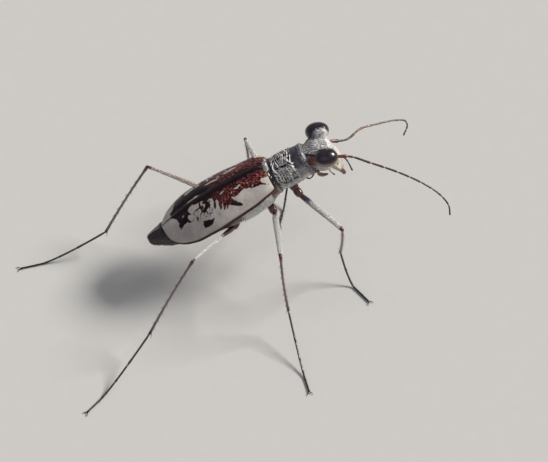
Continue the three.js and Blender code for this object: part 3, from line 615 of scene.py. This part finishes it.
Q = P - HEAD_AT
face = smooth(.35, .8, Q[..., 0] + .0 * Q[..., 2]) * smooth(-.25, -.75, Q[..., 2])
temple = np.minimum(1, 1.5 * np.exp(-(((Q[..., 0] + .60) / .36) ** 2 + ((np.abs(Q[..., 1]) - .74) / .3) ** 2 + ((Q[..., 2] + .30) / .36) ** 2)))
back = smooth(-.74, -1.0, Q[..., 0]) * .9
frons = smooth(.12, .42, Q[..., 0]) * smooth(-.85, -.45, Q[..., 2]) * (1 - smooth(.62, .80, np.abs(Q[..., 1])))
eye_gap = ball(Q * A([1, 0, 1]) + np.abs(Q) * A([0, 1, 0]), (.035, .94, -.012), (.612, .47, .468))
edge_ = np.exp(-(eye_gap / .072) ** 2)
line_ = np.exp(-((np.abs(Q[..., 1]) - .32 - .66 * (Q[..., 0] + .85)) / .050) ** 2) * smooth(-1.02, -.88, Q[..., 0]) * smooth(-.28, -.38, Q[..., 0]) * smooth(-.50, -.36, Q[..., 2])
edge_ = np.maximum(edge_, line_)
up_ = smooth(0, .5, D[..., 2])
f = Form().grid(P, up=up_, wav=wav * up_, face=face, temple=temple, back=back, rim=edge_, frons=frons)
brown = cuticle("mouth_brown", [(.3, (.05, .012, .010)), (.5, (.17, .05, .025)), (.75, (.40, .20, .10))], 6, .25, coat=.5)

for sg in (-1, 1):      # brown stalks of the lower jaws, below the cheeks
    k = np.linspace(0, 1, 30)
    q = A([[-.35, .62, -1.22], [-.22, .60, -1.52], [-.02, .55, -1.70], [.25, .46, -1.80]]) * A([1, sg, 1]) + HEAD_AT
    f.limb(np.stack([np.interp(k, [0, .33, .66, 1], q[:, i]) for i in range(3)], -1), .085 * np.sin(np.pi * (.12 + .76 * k)) + .02, 12, mat=1)
f.make("head_skin", [m.m, brown], "head", ("head",))

# eyes: tall, kidney-shaped, polished, with a paler lower rim and fine facets
m = Mat("eye_surface", rough=0.25, spec=0.35, coat=0.50, coat_rough=0.13)
n1 = m.noise(3.0, 3, .5, .4)
c = m.mix(m.span(n1, .35, .7), (.007, .003, .008), (.022, .010, .020))
c = m.mix(m.span(m.math("ADD", m.attr("low"), m.math("MULTIPLY", m.math("SUBTRACT", n1, .5), .3)), .46, .98), c, (.235, .170, .155))
m.color(m.mix(m.math("MULTIPLY", m.span(m.cells(30, "DISTANCE_TO_EDGE"), .0, .10, 1, 0), .25), c, (.01, .008, .01)))
m.bump(m.cells(30), .006, .5)
for side, name in ((-1, "right"), (1, "left")):
    ta = np.linspace(.01, np.pi - .01, 90)[:, None]; pa = np.linspace(0, 2 * np.pi, 120, endpoint=False)[None]
    d = np.stack([np.cos(ta) + 0 * pa, np.sin(ta) * np.cos(pa), np.sin(ta) * np.sin(pa)], -1)
    e = np.sign(d) * np.abs(d) ** A([.96, .96, .92])
    p = e * A([.612, .470, .468]); p[..., 1] += side * .940; p[..., 0] += .035; p[..., 2] -= .012
    p[..., 1] -= side * .05 * (d[..., 2] + .2) ** 2
    low = smooth(.55, -.12, d[..., 2]) + .4 * smooth(.5, .9, np.abs(d[..., 0])) * smooth(.2, -.2, d[..., 2])
    Form().grid(p + HEAD_AT, low=low).make("eye_globe_" + name, m.m, "eye", ("eye_" + name,))

# ------------------------------------------------------------ mouth
def curve(pts, n=40):
    """smooth curve through points (centripetal)"""
    p = A(pts, float)
    if len(p) == 2: return p[0] + (p[1] - p[0]) * np.linspace(0, 1, n)[:, None]
    p = np.vstack([2 * p[0] - p[1], p, 2 * p[-1] - p[-2]]); out = []
    for i in range(1, len(p) - 2):
        k = [0]
        for a, b in zip(p[i - 1:i + 2], p[i:i + 3]): k.append(k[-1] + max(np.linalg.norm(b - a), 1e-6) ** .5)
        t = np.linspace(k[1], k[2], 30, endpoint=False)[:, None]
        L = lambda a, b, ta, tb: (tb - t) / (tb - ta) * a + (t - ta) / (tb - ta) * b
        a1, a2, a3 = L(p[i - 1], p[i], k[0], k[1]), L(p[i], p[i + 1], k[1], k[2]), L(p[i + 1], p[i + 2], k[2], k[3])
        out.append(L(L(a1, a2, k[0], k[2]), L(a2, a3, k[1], k[3]), k[1], k[2]))
    out = np.vstack(out + [p[-2:-1]])
    return along(out, np.linspace(0, 1, n))


def along(P, s):
    L = np.concatenate([[0], np.cumsum(np.linalg.norm(np.diff(P, axis=0), axis=1))]); L = L / L[-1]
    return np.stack([np.interp(s, L, P[:, i]) for i in range(3)], -1)


ivory_mat = Mat("mouth_ivory", rough=0.3, coat=0.3)
mm_ = ivory_mat
c = mm_.mix(mm_.span(mm_.noise(5, 3), .4, .7), (.34, .30, .22), (.62, .58, .50))
c = mm_.mix(mm_.span(mm_.math("ADD", mm_.attr("s"), mm_.math("MULTIPLY", mm_.noise(6, 3), .12)), .27, .38), c, (.16, .045, .022))
c = mm_.mix(mm_.span(mm_.attr("s"), .38, .50), c, (.012, .008, .010))
mm_.color(c); mm_.bump(mm_.noise(14, 3), .014, .8)
# upper lip: an arched plate with a toothed dark front edge
r_, c_ = np.linspace(0, 1, 40)[:, None], np.linspace(-1, 1, 61)[None]
tooth = .075 * np.abs(np.cos(c_ * np.pi * 1.5)) * smooth(.55, 1, r_)
x = 1.00 + .20 * r_ + .05 * np.sin(r_ * np.pi) - .18 * c_ ** 2; z = -1.34 - (.40 + tooth) * r_ + .08 * c_ ** 2 * r_; y = c_ * (.47 - .13 * r_ ** 2) + 0 * r_
up = np.stack([x + 0 * c_, y, z + 0 * c_], -1); dn = up + A([-.13, 0, -.02])
Form().grid((np.concatenate([up, dn[:, ::-1]], 1) + HEAD_AT), s=np.concatenate([.12 + .56 * r_ ** 6 + .25 * np.exp(-((np.abs(c_) - .55) / .07) ** 2) * r_, .1 + 0 * r_ + 0 * c_], 1)).make("upper_lip", mm_.m, "ivory", ("labrum",))
for side, name in ((-1, "right"), (1, "left")):
    pts = A([[.58, .50, -1.26], [.96, .56, -1.58], [1.12, .46, -1.96], [1.06, .12, -2.26]]) * A([1, side, 1]) + HEAD_AT
    p = curve(pts, 44); s = np.linspace(0, 1, 44)
    f = Form().limb(p, np.interp(s, [0, .3, .6, .85, 1], [.150, .135, .105, .062, .018]), 18, flat=.8, s=s)
    for k, ln in ((.50, .20), (.66, .18), (.80, .14)):
        i = int(k * 43); d = unit(A([-.25, -side, -.35])); f.limb(np.stack([p[i], p[i] + d * ln * .6, p[i] + d * ln + A([0, 0, -.03])]), [.075, .045, .012], 10, s=A([k, .9, 1.0]))
    f.make("mandible_form_" + name, mm_.m, "ivory", ("mandible_" + name,))


def jointed(f, path, cuts, radii, swell=.18, sides=12, mat=0, s0=0.0, s1=1.0):
    """a chain of club-shaped joints along a path"""
    for i in range(len(cuts) - 1):
        a, b = cuts[i], cuts[i + 1]; n = max(7, int((b - a) * 60)); k = np.linspace(0, 1, n)
        r = np.interp(a + (b - a) * k, np.linspace(0, 1, len(radii)), radii)
        r = r * (.74 + .26 * smooth(0, .22, k) + swell * smooth(.45, .92, k)) * np.sqrt(np.clip(1 - (np.clip(k - .90, 0, 1) / .115) ** 2, .02, 1))
        f.limb(along(path, a + (b - a) * (.004 + .992 * k)), r, sides, mat=mat, round_ends=False, s=s0 + (s1 - s0) * (a + (b - a) * k), joint=np.full(n, i / 12.0), k=k)
    return f


palp_dark = along_material("palp_dark_cuticle", [(0, (.10, .035, .02)), (.5, (.05, .022, .018)), (1, BLACK)], .28, .1)
palp_pale = along_material("palp_pale_cuticle", [(0, (.60, .50, .36)), (.72, (.74, .66, .52)), (.80, (.10, .05, .03)), (1, BLACK)], .32)
for name, pts, mat, slot in (("maxillary_palp_left", [[.40, .46, -1.40], [.86, .74, -1.72], [1.44, .62, -2.14], [1.80, .46, -3.00]], palp_dark, "palp_dark"),
                             ("maxillary_palp_right", [[.30, -.44, -1.40], [-.34, -.44, -1.50], [-.66, -.45, -1.90], [-.93, -.32, -1.86]], palp_dark, "palp_dark"),
                             ("labial_palp_left", [[.30, .26, -1.45], [.46, .32, -1.86], [.66, .28, -2.16]], palp_pale, "palp_pale"),
                             ("labial_palp_right", [[.30, -.26, -1.45], [.46, -.32, -1.86], [.66, -.28, -2.16]], palp_pale, "palp_pale")):
    jointed(Form(), curve(A(pts) + HEAD_AT, 60), [0, .14, .45, .72, 1], [.050, .042, .036, .040]).make(name + "_form", mat, slot, (name,))

# ------------------------------------------------------------ feelers
ANT = {"right": [[2.70, -1.64, 6.94], [3.53, -1.84, 6.92], [4.32, -2.21, 6.71], [5.80, -2.95, 6.29], [6.92, -3.57, 5.81], [7.62, -4.02, 5.31], [7.98, -4.36, 4.78], [8.00, -4.61, 4.28]],
       "left": [[2.70, -.52, 6.84], [3.71, -.30, 6.49], [4.55, .26, 6.44], [5.48, .62, 6.15], [6.56, 1.00, 5.74], [7.17, 1.16, 5.36], [7.29, 1.15, 4.98], [7.12, 1.20, 4.20]]}
ANT_CUTS = [0, .095, .135, .27, .37, .47, .56, .65, .74, .83, .915, 1]
ANT_LOOK = {"right": [(0, (.23, .058, .025)), (.10, (.14, .040, .024)), (.14, (.07, .030, .022)), (.30, (.11, .050, .032)), (.50, (.075, .038, .028)), (1, (.05, .032, .026))],
            "left": [(0, (.14, .035, .022)), (.11, (.030, .045, .028)), (.24, (.045, .070, .042)), (.28, (.22, .14, .07)), (.36, (.15, .045, .03)), (.46, (.15, .11, .075)), (.60, (.12, .10, .085)), (1, (.085, .072, .065))]}
for side in ("right", "left"):
    m = Mat("feeler_" + side, rough=.34, metal=.15, coat=.2)
    c = m.ramp(m.math("ADD", m.attr("s"), m.math("MULTIPLY", m.math("SUBTRACT", m.noise(7, 3), .5), .03)), ANT_LOOK[side])
    ring_ = m.math("MAXIMUM", m.span(m.attr("k"), .0, .07, 1, 0), m.span(m.attr("k"), .94, 1.0))
    c = m.mix(m.math("MULTIPLY", ring_, .55), c, (.50, .42, .34))
    m.color(c); m.bump(m.noise(30, 3), .010, .9)
    path = curve(ANT[side], 400)
    for part, a, b in (("base", 0, 2), ("middle", 2, 6), ("tip", 6, 11)):
        f = Form()
        for i in range(a, b):
            s0, s1 = ANT_CUTS[i], ANT_CUTS[i + 1]; k = np.linspace(0, 1, max(9, int((s1 - s0) * 130))); s = s0 + (s1 - s0) * (.01 + .98 * k)
            r = np.interp(s, [0, .095, .1, .135, .3, .6, 1], [.088, .086, .055, .058, .056, .048, .040])
            r = r * (.72 + .28 * smooth(0, .25, k) + .16 * smooth(.5, .95, k)) * np.sqrt(np.clip(1 - (np.clip(k - .92, 0, 1) / .09) ** 2, .03, 1))
            f.limb(along(path, s), r, 12, round_ends=False, s=s, k=k)
        f.make("feeler_%s_%s" % (side, part), m.m, "antenna_base" if part == "base" else "antenna", ("antenna_%s_%s" % (side, part),))

# ------------------------------------------------------------ legs
LEGS = {
    "front_right": ([.42, -1.52, 5.66], [.78, -2.20, 5.20], [2.39, -4.60, 4.75], [2.58, -3.62, 1.80], [3.57, -5.78, .08], (.55, 1.8)),
    "front_left": ([.56, -.78, 5.55], [.88, -.43, 5.04], [2.17, 1.48, 4.12], [1.25, 2.14, .95], [.33, .20, .08], (.6, 1.5)),
    "middle_right": ([-.90, -1.60, 5.00], [-.57, -2.42, 4.50], [-1.05, -5.65, 4.80], [-.85, -6.48, 1.55], [-.80, -10.73, .08], (.82, 1.3)),
    "middle_left": ([-.80, -.70, 4.85], [-.46, -.10, 4.28], [-.83, 2.81, 4.30], [-.54, 3.11, 1.30], [-3.25, 1.49, .08], (.7, 1.3)),
    "hind_right": ([-2.10, -1.60, 4.30], [-2.60, -2.25, 3.66], [-5.40, -5.02, 5.00], [-7.95, -6.32, 1.60], [-11.91, -9.31, .08], (.82, 1.3)),
    "hind_left": ([-2.05, -.75, 4.15], [-2.45, -.16, 3.32], [-6.10, 2.18, 4.30], [-8.65, .78, 1.50], [-13.28, .61, .08], (.78, 1.3)),
}
FEMUR_LOOK = {
    "front_right": [(0, MAROON), (.10, (.10, .03, .025)), (.16, (.055, .035, .085)), (.45, (.10, .06, .075)), (.93, (.09, .05, .05)), (.98, (.12, .02, .015))],
    "front_left": [(0, MAROON), (.3, PURPLE), (.92, (.09, .05, .05)), (1, (.10, .02, .015))],
    "middle_right": [(0, MAROON), (.12, (.10, .035, .04)), (.4, PURPLE), (.9, (.10, .05, .055)), (.97, (.13, .02, .015))],
    "middle_left": [(0, MAROON), (.2, (.20, .09, .05)), (.9, (.22, .11, .07)), (1, (.10, .02, .015))],
    "hind_right": [(0, (.10, .025, .02)), (.26, (.05, .018, .018)), (.34, (.42, .36, .33)), (.6, (.55, .50, .47)), (.88, (.45, .38, .34)), (.95, (.035, .018, .018))],
    "hind_left": [(0, MAROON), (.12, (.28, .12, .05)), (.6, (.34, .17, .08)), (.92, (.24, .11, .06)), (1, (.07, .03, .025))],
}
FEMUR_R = {"front": (.165, .115), "middle": (.150, .105), "hind": (.125, .080)}
coxa_mat = cuticle("hip_cuticle", [(.30, (.010, .004, .005)), (.46, (.05, .012, .010)), (.60, (.14, .040, .020)), (.78, (.34, .16, .06))], 3.4, .20, metal=.1, coat=.7, rug=.016)
tibia_mat = along_material("tibia_cuticle", [(0, (.10, .022, .018)), (.06, (.19, .12, .11)), (.5, (.25, .19, .195)), (.9, (.19, .15, .16)), (1, (.05, .035, .04))], .30, .25, .3)
tarsus_mat = along_material("tarsus_cuticle", [(0, (.060, .064, .062)), (.4, (.050, .062, .055)), (1, (.018, .016, .016))], .26, .35, .4)
legs_hair = []


def surface_roots(path, radius, n, s0, s1, flat=1.0, seed=0, half=None):
    r = np.random.default_rng(seed); s = r.uniform(s0, s1, n); a = r.uniform(0, 2 * np.pi, n)
    P = along(path, s); T = unit(along(path, np.clip(s + .01, 0, 1)) - along(path, np.clip(s - .01, 0, 1)))
    N = unit(np.cross(T, A([0, 0, 1.0]))); B = np.cross(T, N)
    nrm = np.cos(a)[:, None] * N + np.sin(a)[:, None] * B
    return P + nrm * radius(s)[:, None], nrm, T, np.stack([.02 + .96 * s, .02 + .96 * a / 6.2832], -1)


def spine(f, base, d, length, r0, s=1.0):
    d = unit(A(d)); side = A([0, 0, -1.0])
    f.limb(np.stack([base, base + d * length * .5, base + d * length + side * 0]), [r0, r0 * .75, r0 * .12], 6, round_ends=False, s=s)


for name, (cx, tr, kn, an, ft, fall) in LEGS.items():
    pair, side = name.split("_"); cx, tr, kn, an, ft = map(lambda v: A(v, float), (cx, tr, kn, an, ft))
    r = np.random.default_rng(len(name) * 7 + int(abs(cx[0]) * 100))
    # hip and the small joint after it
    d = tr - cx; start = cx - unit(d) * .18
    k = np.linspace(0, 1, 26); f = Form()
    f.limb(start + (cx + d * .62 - start) * k[:, None], .30 * np.sqrt(np.clip(1 - (k * .9) ** 2.2 * .62, 0, 1)), 22, flat=.92)
    f.limb(cx + d * (.56 + .50 * k)[:, None] + unit(kn - tr) * .12 * (k ** 2)[:, None], (.185 + .035 * np.sin(k * np.pi)) * np.sqrt(np.clip(1.02 - (2 * k - 1) ** 4, .12, 1)), 18)
    f.make("hip_" + name, coxa_mat, "hip", ("coxa_" + name,))
    # thigh
    fr = FEMUR_R[pair]; k = np.linspace(0, 1, 70); sag = A([0, 0, .09]) if pair != "front" else A([0, 0, .05])
    path = tr + (kn - tr) * k[:, None] + np.sin(k * np.pi)[:, None] * sag
    hr = .62 if name == "hind_right" else 1.0
    fat = (lambda s: np.interp(s, [0, .10, .22, .31], [2.0, 2.1, 1.5, 1.0])) if name == "hind_right" else (lambda s: 1.0)
    rad_ = lambda s: fat(s) * hr * np.interp(s, [0, .05, .22, .55, .9, .965, 1], [fr[0] * .55, fr[0] * .9, fr[0] * 1.05, fr[0] * .9, fr[1] * .95, fr[1] * 1.12, fr[1] * .95])
    f = Form().limb(path, rad_(k), 20, flat=.86, s=k)
    fm = along_material("femur_" + name + "_cuticle", FEMUR_LOOK[name], .26, .25, .35, dots=(.10, .045, .03) if name == "hind_right" else None, pale={"front_right": (.20, .85), "middle_right": (.08, .85), "hind_left": (.2, .28), "hind_right": (.34, .9), "middle_left": (.1, .8), "front_left": (.2, .7)}[name])
    f.make("thigh_" + name, fm, "femur", ("femur_" + name,))
    n = {"front": 3000, "middle": 3200, "hind": 3000}[pair]
    R_, N_, T_, U_ = surface_roots(path, lambda s: rad_(s) * .95, n, {"front_right": .15, "hind_right": .32}.get(name, .10), .93, seed=len(legs_hair) + 3)
    ok = (N_[:, 2] * .9 - N_[:, 1] * .35) > r.normal(-.25, .22, n)
    if name == "front_right": ok &= smooth(.16, .42, U_[:, 0]) > r.uniform(0, 1, n) * .9
    ok &= r.uniform(0, 1, n) < {"hind_right": .5, "hind_left": .45}.get(name, 1.0)
    legs_hair.append((R_[ok], N_[ok], T_[ok], U_[ok]))
    # shank, with rows of short spines and two spurs
    k = np.linspace(0, 1, 60); bow = unit(np.cross(an - kn, A([an[0] - kn[0], an[1] - kn[1], 0]) + 1e-3)) * .05
    path = kn + (an - kn) * k[:, None] + np.sin(k * np.pi)[:, None] * bow
    tr_ = lambda s: np.interp(s, [0, .04, .10, .5, .93, 1], [.085, .088, .066, .062, .070, .080])
    f = Form().limb(path, tr_(k), 14, s=k)
    T = unit(an - kn); N = unit(np.cross(T, A([.2, .1, 1.0]))); B = np.cross(T, N)
    for row in range(5):
        a0 = row * 2 * np.pi / 5 + .3
        for s in np.arange(.14 + .02 * row, .95, .105):
            nn = math.cos(a0) * N + math.sin(a0) * B
            spine(f, along(path, A([s]))[0] + nn * .05, T * 1.0 + nn * .75 + r.normal(0, .1, 3), .17 * r.uniform(.8, 1.2), .013, s=.3)
    for a0 in (.6, 2.4):
        nn = math.cos(a0) * N + math.sin(a0) * B
        spine(f, path[-2] + nn * .05, T + nn * .45, .34 if pair == "hind" else .26, .022, s=.5)
    f.make("shank_" + name, tibia_mat, "tibia", ("tibia_" + name,))
    # foot of five joints with two claws
    k = np.linspace(0, 1, 240); end = .985
    p = an + (ft - an) * (k * end)[:, None]; p[:, 2] = an[2] * np.clip(1 - k / fall[0], 0, 1) ** fall[1]
    p[:, 2] = np.sqrt(p[:, 2] ** 2 + .060 ** 2)
    cuts = [0, .37, .58, .73, .83, 1.0]; f = Form()
    for i in range(5):
        a, b = cuts[i], cuts[i + 1]; q = np.linspace(0, 1, 26 if i < 4 else 20); s = a + (b - a) * q
        rr = np.interp(s, [0, 1], [.056, .045]) * (.70 + .30 * smooth(0, .15, q) + .22 * smooth(.75, .95, q)) * np.sqrt(np.clip(1 - (np.clip(q - .95, 0, 1) / .055) ** 2, .04, 1))
        f.limb(along(p, a + (b - a) * (.003 + .994 * q)), rr, 12, round_ends=False, s=s)
        dd = unit(along(p, A([b]))[0] - along(p, A([b - .01]))[0])
        sd = unit(np.cross(dd, A([0, 0, 1.0])))
        for sg in (-1, 1):
            spine(f, along(p, A([b - .006]))[0] + sd * sg * .03, dd + sd * sg * .5 + A([0, 0, .05]), .13, .010, s=.6)
        for j in range(4):
            pb = along(p, A([a + (b - a) * (.2 + .2 * j)]))[0]
            spine(f, pb + sd * (-1) ** j * .03, dd + sd * (-1) ** j * .55, .10, .008, s=.6)
    dd = unit((ft - an) * A([1, 1, 0])); sd = np.cross(dd, A([0, 0, 1.0])); tip = p[-1]
    for sg in (-1, 1):
        q = np.linspace(0, 1, 12)[:, None]
        pth = tip + dd * (.02 + .17 * q) + sd * sg * (.03 + .17 * q * (1.25 - .55 * q)) + A([0, 0, 1.0]) * (.015 * np.sin(q * np.pi) - .035 * q ** 2)
        pth[:, 2] = np.maximum(pth[:, 2], .014)
        f.limb(pth, np.interp(q[:, 0], [0, .3, 1], [.026, .022, .006]), 8, s=1.0, round_ends=False)
    f.make("foot_" + name, tarsus_mat, "tarsus", ("tarsus_" + name,))

# ------------------------------------------------------------ white hair
W = white_hair("white_hair"); WL = white_hair("white_leg_hair", .3)
root, nrm, T, uv = [np.concatenate(x) for x in zip(*legs_hair)]
patch = np.concatenate([np.full(len(x[0]), i) for i, x in enumerate(legs_hair)])
uv = np.stack([(uv[:, 0] + patch % 3) / 3, (uv[:, 1] + patch // 3) / 2], -1)
hair("leg_hair", root, nrm, T, .15, .017, uv, WL, "femur", lift=.26, spread=.16)


def patch_hair(name, point, au, bu, n, direction, length, width, mat, slot, keep=None, lift=.3, seed=1, spread=.25):
    r = np.random.default_rng(seed); a = r.uniform(*au, n); b = r.uniform(*bu, n)
    if keep is not None:
        ok = keep(a, b) > r.uniform(0, 1, n); a, b = a[ok], b[ok]
    P = point(a, b); da = point(a + 1e-3, b) - P; db = point(a, b + 1e-3) - P
    N = unit(np.cross(da, db))
    c = point(a, np.full_like(b, 0.0)) * .5 + point(a, np.full_like(b, np.pi)) * .5
    N = N * np.sign(((P - c) * N).sum(-1, keepdims=True) + 1e-9)
    uv = np.stack([.02 + .96 * (a - au[0]) / (au[1] - au[0]), .02 + .96 * (b - bu[0]) / (bu[1] - bu[0])], -1)
    return hair(name, P, N, np.broadcast_to(A(direction, float), P.shape), length, width, uv, mat, slot, lift=lift, spread=spread)


BACK = ROT @ A([-1, 0, -.35])
PRO_KEEP = .16
tr_pt = lambda a, b: trunk(trunk_ring(a, b))
for side, lo_, hi_ in (("left", -.05, 1.0), ("right", np.pi - 1.0, np.pi + .05)):
    edge_ = 0 if side == "left" else np.pi
    patch_hair("side_hair_" + side, tr_pt, (-4.6, -.42), (lo_, hi_), 6500, BACK, .26, .030, W, "thorax_side",
               keep=lambda a, b, e=edge_: (1 - smooth(.35, 1.0, np.abs(b - e))) * smooth(-2.45, -1.95, a) * (1 - smooth(-.60, -.44, a)), seed=5 if side == "left" else 6)
pp = lambda a, b: trunk(pro_point(a, b, fine=False))
for side, lo_, hi_ in (("left", -1.1, 1.15), ("right", np.pi - 1.15, np.pi + 1.1)):
    e = 0 if side == "left" else np.pi; sg = 1 if side == "left" else -1
    patch_hair("pronotum_hair_" + side, pp, (.16, .72), (lo_, hi_), 1500, ROT @ A([-.55, -sg * .5, .8]), .22, .034, W, "prothorax",
               keep=lambda a, b, e=e, sg=sg: (1 - smooth(.55, 1.1, np.abs(b - e))) * PRO_KEEP, seed=8 if side == "left" else 9, lift=.22, spread=.32)

# cheeks and face
r = np.random.default_rng(77); n = 2600
dirs = unit(r.normal(0, 1, (n, 3)) * A([1, 1, 1]))
ok = (dirs[:, 2] < -.05) & (np.abs(dirs[:, 1]) > .35) & (dirs[:, 0] > -.75); dirs = dirs[ok]
rr = np.full(len(dirs), 2.4); dn_ = np.zeros(len(dirs), bool)
for _ in range(240):
    dd = head_distance(C + dirs * rr[:, None]); dn_ |= dd <= 0; rr = np.where(dn_, rr, rr - .01)
P = C + dirs * rr[:, None]; g = np.stack([head_distance(P + A(e)) - head_distance(P - A(e)) for e in ([1e-3, 0, 0], [0, 1e-3, 0], [0, 0, 1e-3])], -1)
uv = np.stack([.02 + .96 * np.arctan2(dirs[:, 1], dirs[:, 2]) / 6.2832 % .96, .5 + .48 * dirs[:, 0]], -1)
hair("cheek_hair", P + HEAD_AT, unit(g), np.broadcast_to(A([.5, 0, -1.0]), P.shape), .16, .022, uv, W, "head", lift=.2)

# ------------------------------------------------------------ floor, light, camera
me = bpy.data.meshes.new("floor"); S = 1.5
me.from_pydata([(-S, -S, 0), (S, -S, 0), (S, S, 0), (-S, S, 0)], [], [(0, 1, 2, 3)])
floor = bpy.data.objects.new("floor", me); bpy.context.scene.collection.objects.link(floor)
m = Mat("floor_paper", rough=.85, spec=.2)
m.color(m.mix(m.noise(1.2, 3), (.568, .557, .540), (.596, .585, .567)))
me.materials.append(m.m)

scene = bpy.context.scene
world = bpy.data.worlds.new("studio"); scene.world = world; world.use_nodes = True
bg = world.node_tree.nodes.get("Background") or world.node_tree.nodes.new("ShaderNodeBackground")
bg.inputs[0].default_value = (.93, .95, 1.0, 1); bg.inputs[1].default_value = .31


def lamp(name, kind, energy, direction, color, **k):
    d = bpy.data.lights.new(name, kind); d.energy = energy; d.color = color
    for a, b in k.items(): setattr(d, a, b)
    o = bpy.data.objects.new(name, d); scene.collection.objects.link(o)
    from mathutils import Vector
    v = Vector(direction).normalized(); o.location = v * .25; o.rotation_euler = v.to_track_quat("Z", "Y").to_euler()
    return o


lamp("key", "SUN", 3.65, (.80, .10, .64), (1.0, .965, .91), angle=math.radians(17))
lamp("fill", "SUN", .18, (-.5, -.9, 1.2), (.93, .96, 1.0), angle=math.radians(50))

E, PHI, DIST = math.radians(50), math.radians(13.8), .220
back = A([-math.sin(PHI) * math.cos(E), -math.cos(PHI) * math.cos(E), math.sin(E)])
cam = bpy.data.cameras.new("view"); cam.lens = 280.4; cam.sensor_width = 36; cam.clip_start = .001; cam.clip_end = 10
co = bpy.data.objects.new("view", cam); scene.collection.objects.link(co)
from mathutils import Matrix
right = A([math.cos(PHI), -math.sin(PHI), 0]); upv = np.cross(back, right)
M4 = np.eye(4); M4[:3, 0] = right; M4[:3, 1] = upv; M4[:3, 2] = back; M4[:3, 3] = SHIFT / 1000 + back * DIST
co.matrix_world = Matrix(M4.tolist())
scene.camera = co
scene.view_settings.view_transform = "Standard"
